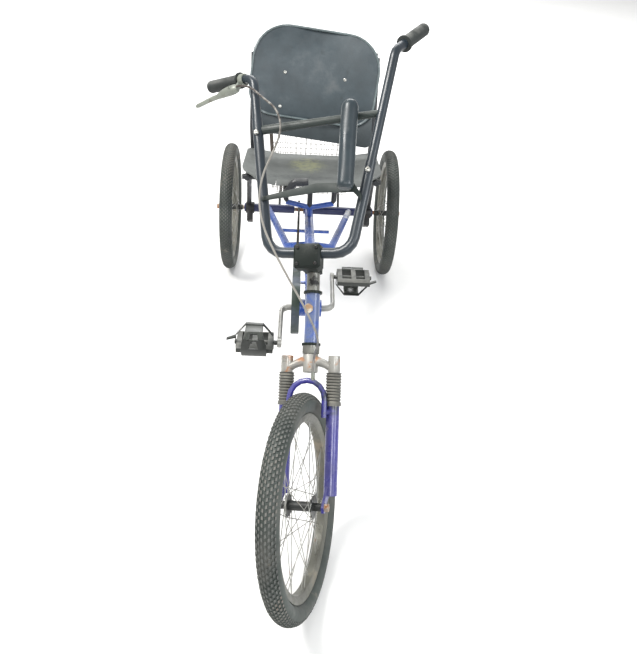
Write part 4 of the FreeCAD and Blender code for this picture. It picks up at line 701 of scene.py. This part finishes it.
def grip_profile():
    inset, shoulder = grip_shoulder
    profile = [
        (grip_hole_radius, 0), (grip_flange_radius, 0), (grip_flange_radius, grip_flange),
        (grip_radius - inset, shoulder),
    ]
    pitch = (grip_length - rib_rest) / rib_count
    for rib in range(rib_count):
        low = rib_start + rib * (grip_length - rib_rest) / rib_count
        profile.append((grip_radius - rib_depth, low))
        profile.append((grip_radius, low + pitch * rib_rise))
        profile.append((grip_radius, low + pitch * rib_fall))
        profile.append((grip_radius - rib_depth, low + pitch * rib_foot))
    for inset, back in grip_end_steps:
        profile.append((grip_radius - inset, grip_length - back))
    profile.append((grip_end_hole, grip_length))
    return profile


def build_grips():
    work = bmesh.new()
    for side in (-1, 1):
        start, way = bar_point(side, grip_start)
        lathe(work, clamp @ facing(start, way), grip_profile(), turned_sides)
    grips = finish_mesh("ribbed_grips", work, "grip_rubber", "steering")
    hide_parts("grips")


# Padded post, a foam sleeve with a tight glossy cover
def post_section_radius(height):
    radius = post_radius - post_tightness
    if height < post_foot_height:
        radius -= post_foot_inset * (1 - height / post_foot_height) ** 2
    if height > post_length:
        lift = (height - post_length) / post_radius
        radius = (post_radius - post_tightness) * math.sqrt(max(post_tip_share, 1 - lift ** 2))
    return radius


def build_post():
    work = bmesh.new()
    chance = random.Random(post_seed)
    matrix = clamp @ Matrix.Translation(post_place)
    waves = []
    for _ in range(post_waves):
        start, rate = chance.uniform(0, math.tau), chance.uniform(*post_wave_rates)
        waves.append((start, rate, chance.randint(*post_wave_turns)))
    rings = []
    total = post_length + post_radius
    for row in range(post_rows + 1):
        height = total * (row / post_rows)
        radius = post_section_radius(height)
        ring = []
        for side in range(post_sides):
            angle = math.tau * side / post_sides
            swell = 0
            for start, rate, turns in waves:
                swell += post_swell * math.sin(start + rate * height + turns * angle)
            seam = seam_depth * math.exp(-((math.degrees(angle) - seam_angle) / seam_width) ** 2)
            reach = max(post_least_reach, radius + swell - seam)
            place = Vector((reach * math.cos(angle), reach * math.sin(angle), height))
            ring.append(work.verts.new(matrix @ place))
        rings.append(ring)
    loft(work, rings)
    post = finish_mesh("foam_post", work, "post_cover", "steering")
    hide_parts("padded_post")


# Brake cable
def build_cable():
    curve = bpy.data.curves.new("brake_cable_line", "CURVE")
    curve.dimensions = "3D"
    curve.bevel_depth = cable_diameter / 2
    curve.bevel_resolution = cable_sides
    curve.resolution_u = cable_steps
    curve.use_fill_caps = True
    spline = curve.splines.new("NURBS")
    spline.points.add(len(cable_points) - 1)
    for knot, place in zip(spline.points, cable_points):
        knot.co = (*(steering @ Vector(place)), 1)
    spline.order_u = cable_order
    spline.use_endpoint_u = True
    cable = link(bpy.data.objects.new("brake_cable_line", curve))
    paint(cable, "cable_cover")
    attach(cable, "steering")
    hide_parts("brake_cable")


# Wire basket
def basket_corner(side, end, share):
    """side: -1 or 1 across, end: 0 front or 1 rear, share: 0 bottom to 1 top."""
    half = basket_half[0] + (basket_half[1] - basket_half[0]) * share
    row = (basket_front, basket_rear)[end]
    depth = row[0] + (row[1] - row[0]) * share
    inset = wire_radius * wire_inset
    tall = basket_heights[1] - basket_heights[0] - rim_wire_radius * 2
    return Vector((
        side * (half - inset),
        depth + (inset if end == 0 else -inset),
        basket_heights[0] + inset + tall * share,
    ))


def between(first, second, share):
    return first + (second - first) * share


def bent_wire(chance, places, amount):
    line = []
    for first, second in zip(places, places[1:]):
        for step in range(wire_bends):
            place = between(first, second, step / wire_bends)
            if step:
                place = place + Vector([chance.uniform(-amount, amount) for _ in range(3)])
            line.append(place)
    line.append(places[-1])
    return line


def add_cross_wires(work, chance):
    """Wires that run down the front, under the floor and up the rear."""
    count = round(2 * basket_half[1] / wire_pitch)
    for index in range(1, count):
        places = []
        for end, level in ((0, 1), (0, 0), (1, 0), (1, 1)):
            left, right = basket_corner(-1, end, level), basket_corner(1, end, level)
            places.append(between(left, right, index / count))
        amount = bent_amount if index in bent_wires else straight_amount
        sweep(work, bent_wire(chance, places, amount), wire_radius, wire_sides)


def add_side_wires(work, chance):
    """Wires that run down one side, under the floor and up the other."""
    count = round((basket_rear[1] - basket_front[1]) / wire_pitch)
    for index in range(1, count):
        places = []
        for side, level in ((-1, 1), (-1, 0), (1, 0), (1, 1)):
            front, rear = basket_corner(side, 0, level), basket_corner(side, 1, level)
            places.append(between(front, rear, index / count))
        sweep(work, bent_wire(chance, places, straight_amount), wire_radius, wire_sides)


def add_level_wires(work):
    levels = round((basket_heights[1] - basket_heights[0]) / wire_pitch)
    for index in range(round(levels * wired_share)):
        ring = []
        for side, end in ((-1, 0), (1, 0), (1, 1), (-1, 1)):
            ring.append(basket_corner(side, end, index / levels))
        sweep(work, ring, wire_radius, wire_sides, loop=True)


def add_rim_wire(work):
    top = []
    for side, end in ((-1, 0), (1, 0), (1, 1), (-1, 1)):
        corner = basket_corner(side, end, 1)
        corner.x -= side * rim_wire_radius
        corner.y += rim_wire_radius if end == 0 else -rim_wire_radius
        corner.z = basket_heights[1] - rim_wire_radius
        top.append(corner)
    rim = []
    for index, corner in enumerate(top):
        before, after = top[index - 1], top[(index + 1) % 4]
        for step in range(rim_corner_steps + 1):
            share = step / rim_corner_steps
            first = corner + (before - corner).normalized() * rim_corner * (1 - share) ** 2
            rim.append(first + (after - corner).normalized() * rim_corner * share ** 2)
    sweep(work, rim, rim_wire_radius, rim_sides, loop=True)


def build_basket():
    work = bmesh.new()
    chance = random.Random(basket_seed)
    add_cross_wires(work, chance)
    add_side_wires(work, chance)
    add_level_wires(work)
    add_rim_wire(work)
    basket = finish_mesh("wire_basket", work, "basket_wire", "frame")
    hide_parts("basket")


# Screws and bolts
def back_face(x, rise):
    """A point on the front of the backrest and the way it faces."""
    sag = back_bend - math.sqrt(back_bend ** 2 - x ** 2)
    way = Vector((-x / back_bend, -math.sqrt(back_bend ** 2 - x ** 2) / back_bend, 0))
    tilt = turn(back_recline, "X")
    place = tilt @ Vector((x, -sag, rise)) + Vector(back_place)
    return place, tilt.to_3x3() @ way


def build_screws():
    work = bmesh.new()
    for x, rise in back_screws:
        place, way = back_face(x, rise)
        add_screw(work, facing(place - way * back_screw_inset, way), back_screw_size)
    finish_mesh("back_screws", work, "bolt_steel", "frame")
    work = bmesh.new()
    forward = Vector((0, -1, 0))
    for x in (-stem_bolt_across, stem_bolt_across):
        for rise in (-stem_bolt_rise, stem_bolt_rise):
            place = steering @ Vector((x, stem_face, stem_middle + rise))
            add_screw(work, facing(place, steering.to_3x3() @ forward), stem_bolt_size)
    finish_mesh("stem_bolts", work, "bolt_black", "steering")
    work = bmesh.new()
    for side, rise, out in bar_bolts:
        arm = side * (bar_corner + rise * bar_spread)
        place = clamp @ Vector((arm, -out, rise))
        add_screw(work, facing(place, clamp.to_3x3() @ forward), bar_bolt_size)
    finish_mesh("bar_bolts", work, "bolt_steel", "steering")


# Brake lever: clamp band, cast body and worn blade
def add_stations(work, rows, start, way, square, front):
    rings = []
    for reach, depth, half_depth, half_width in rows:
        place = start + way * reach + square * depth
        rings.append(oval(work, place, square * half_depth, front * half_width))
    loft(work, rings)


def build_lever():
    centre, way = bar_point(-1, lever_place)
    hanging = Vector((0, -lever_lean, -1))
    square = (hanging - way * hanging.dot(way)).normalized()
    front = way.cross(square).normalized()
    turned = clamp.to_3x3()
    centre, way, square, front = clamp @ centre, turned @ way, turned @ square, turned @ front
    middle = centre + front * lever_shift
    work = bmesh.new()
    add_stations(work, lever_body, middle, way, square, front)
    add_stations(work, lever_blade, middle, way, square, front)
    neck = middle + front * (-lever_shift * lever_neck_share)
    add_stations(work, lever_neck, neck, way, square, front)
    band = rounded_ring(lever_band_inner, lever_band_outer, -lever_band_half, lever_band_half, ring_edge)
    lathe(work, facing(centre, way), band, turned_sides, closed=True)
    screw = middle + square * lever_screw_depth + front * lever_screw_front + way * lever_screw_reach
    add_screw(work, facing(screw, front), lever_screw_size)
    lever = finish_mesh("cast_lever", work, "lever_metal", "steering")
    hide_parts("brake_lever")


# Fork crown: boss, two sloping arms and the tops of the leg tubes
def build_crown():
    work = bmesh.new()
    lathe(work, steering, crown_boss, turned_sides, closed=True)
    turned = steering.to_3x3()
    for side in (-1, 1):
        leg = steering @ Matrix.Translation((side * leg_x, 0, 0))
        lathe(work, leg, crown_leg, turned_sides)
        rings = []
        for x, z, tall, deep in crown_arm:
            place = steering @ Vector((side * x, 0, z))
            rings.append(oval(work, place, turned @ Vector((0, 0, tall)), turned @ Vector((0, deep, 0))))
        loft(work, rings)
    crown = finish_mesh("welded_crown", work, "crown_metal", "steering")
    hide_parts("fork_crown")


# Crank: forged arms that bend out of the spindle
def add_crank_arm(work, centre, side, out, way):
    square = way.cross(Vector((1, 0, 0))).normalized()
    rings = []
    for x in (side * arm_start, out - side * arm_bend):
        rings.append(oval(work, centre + Vector((x, 0, 0)), way * spindle_radius, square * spindle_radius))
    for step in range(1, arm_bend_steps + 1):
        angle = math.radians(90 * step / arm_bend_steps)
        x = out - side * arm_bend * (1 - math.sin(angle))
        place = centre + Vector((x, 0, 0)) + way * (arm_bend * (1 - math.cos(angle)))
        inward = way * math.cos(angle) - Vector((side, 0, 0)) * math.sin(angle)
        thick = spindle_radius - arm_thinning * step / arm_bend_steps
        wide = spindle_radius + arm_widening * step / arm_bend_steps
        rings.append(oval(work, place, inward * thick, square * wide))
    for reach, wide in arm_stations:
        place = centre + Vector((out, 0, 0)) + way * reach
        rings.append(oval(work, place, Vector((-side, 0, 0)) * arm_half_thick, square * wide))
    loft(work, rings)


def build_crank():
    work = bmesh.new()
    centre = Vector(crank_place)
    rise = math.radians(crank_rise)
    for side, out in crank_arms.items():
        way = Vector((0, side * math.cos(rise), side * math.sin(rise)))
        add_crank_arm(work, centre, side, out, way)
        eye = facing(centre + way * crank_reach + Vector((out, 0, 0)), (1, 0, 0))
        eye_profile = rounded_ring(eye_hole, eye_outer, -eye_half, eye_half, ring_edge)
        lathe(work, eye, eye_profile, turned_sides, closed=True)
    spindle = [(spindle_radius, -spindle_half), (spindle_radius, spindle_half)]
    lathe(work, facing(centre, (1, 0, 0)), spindle, spindle_sides)
    crank = finish_mesh("forged_crank", work, "crank_metal", "crank")
    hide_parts("crank")


# Rusty cable clip on the head tube
def build_clip():
    work = bmesh.new()
    rings = []
    for step in range(clip_steps + 1):
        angle = math.radians(clip_start + clip_sweep * step / clip_steps)
        lift = clip_lift * math.sin(step * clip_lift_rate)
        tall = clip_half * (clip_end_share + (1 - clip_end_share) * math.sin(math.pi * step / clip_steps))
        corners = (
            (clip_inner, -tall), (clip_outer, -tall), (clip_outer + lift, tall), (clip_inner, tall),
        )
        ring = []
        for radius, height in corners:
            place = Vector((radius * math.cos(angle), radius * math.sin(angle), clip_middle + height))
            ring.append(work.verts.new(head_axis @ place))
        rings.append(ring)
    loft(work, rings)
    finish_mesh("cable_clip", work, "clip_rust", "frame")


# Dark collars at both ends of the head tube
def build_collars():
    work = bmesh.new()
    for middle in collar_heights:
        foot, top = middle - collar_half, middle + collar_half
        collar = rounded_ring(collar_inner, collar_outer, foot, top, collar_edge)
        lathe(work, head_axis, collar, collar_sides, closed=True)
    finish_mesh("head_collars", work, "stem_black", "frame")


# The rolled rim round the backrest: a rounded outline, tilted and bent with the shell; its lighter colour
# is a painted highlight
def build_back_rim():
    tilt = math.radians(rim_tilt)
    quarters = (
        (1, 1, rim_top_corner, 0), (-1, 1, rim_top_corner, 90),
        (-1, -1, rim_low_corner, 180), (1, -1, rim_low_corner, 270),
    )
    line = []
    for across, up, corner, start in quarters:
        for step in range(rim_steps + 1):
            angle = math.radians(start + 90 * step / rim_steps)
            x = across * (rim_half_width - corner) + corner * math.cos(angle)
            rise = up * (rim_half_height - corner) + corner * math.sin(angle)
            turned_x = x * math.cos(tilt) - rise * math.sin(tilt)
            turned_rise = x * math.sin(tilt) + rise * math.cos(tilt)
            place, way = back_face(turned_x, turned_rise)
            line.append(place - way * rim_inset)
    work = bmesh.new()
    sweep(work, line, rim_radius, rim_sides, loop=True)
    finish_mesh("back_rim_painted_highlight", work, "back_rim_painted_highlight", "frame")


def set_floor():
    material = surface("floor", (0.80, 0.80, 0.79), 0.85, shade=0.01, grain=(40, 0.0001))
    mesh = bpy.data.meshes.new("floor")
    size = floor_half
    corners = [(-size, -size, 0), (size, -size, 0), (size, size, 0), (-size, size, 0)]
    mesh.from_pydata(corners, [], [(0, 1, 2, 3)])
    floor = link(bpy.data.objects.new("floor", mesh))
    floor.data.materials.append(material)


set_camera()
set_lights()
set_floor()
dress_nodes()
for wheel in wheels:
    build_tyre(wheel, wheel + "_wheel")
build_grips()
build_post()
build_cable()
build_basket()
build_screws()
build_lever()
build_crown()
build_crank()
build_clip()
build_collars()
build_back_rim()
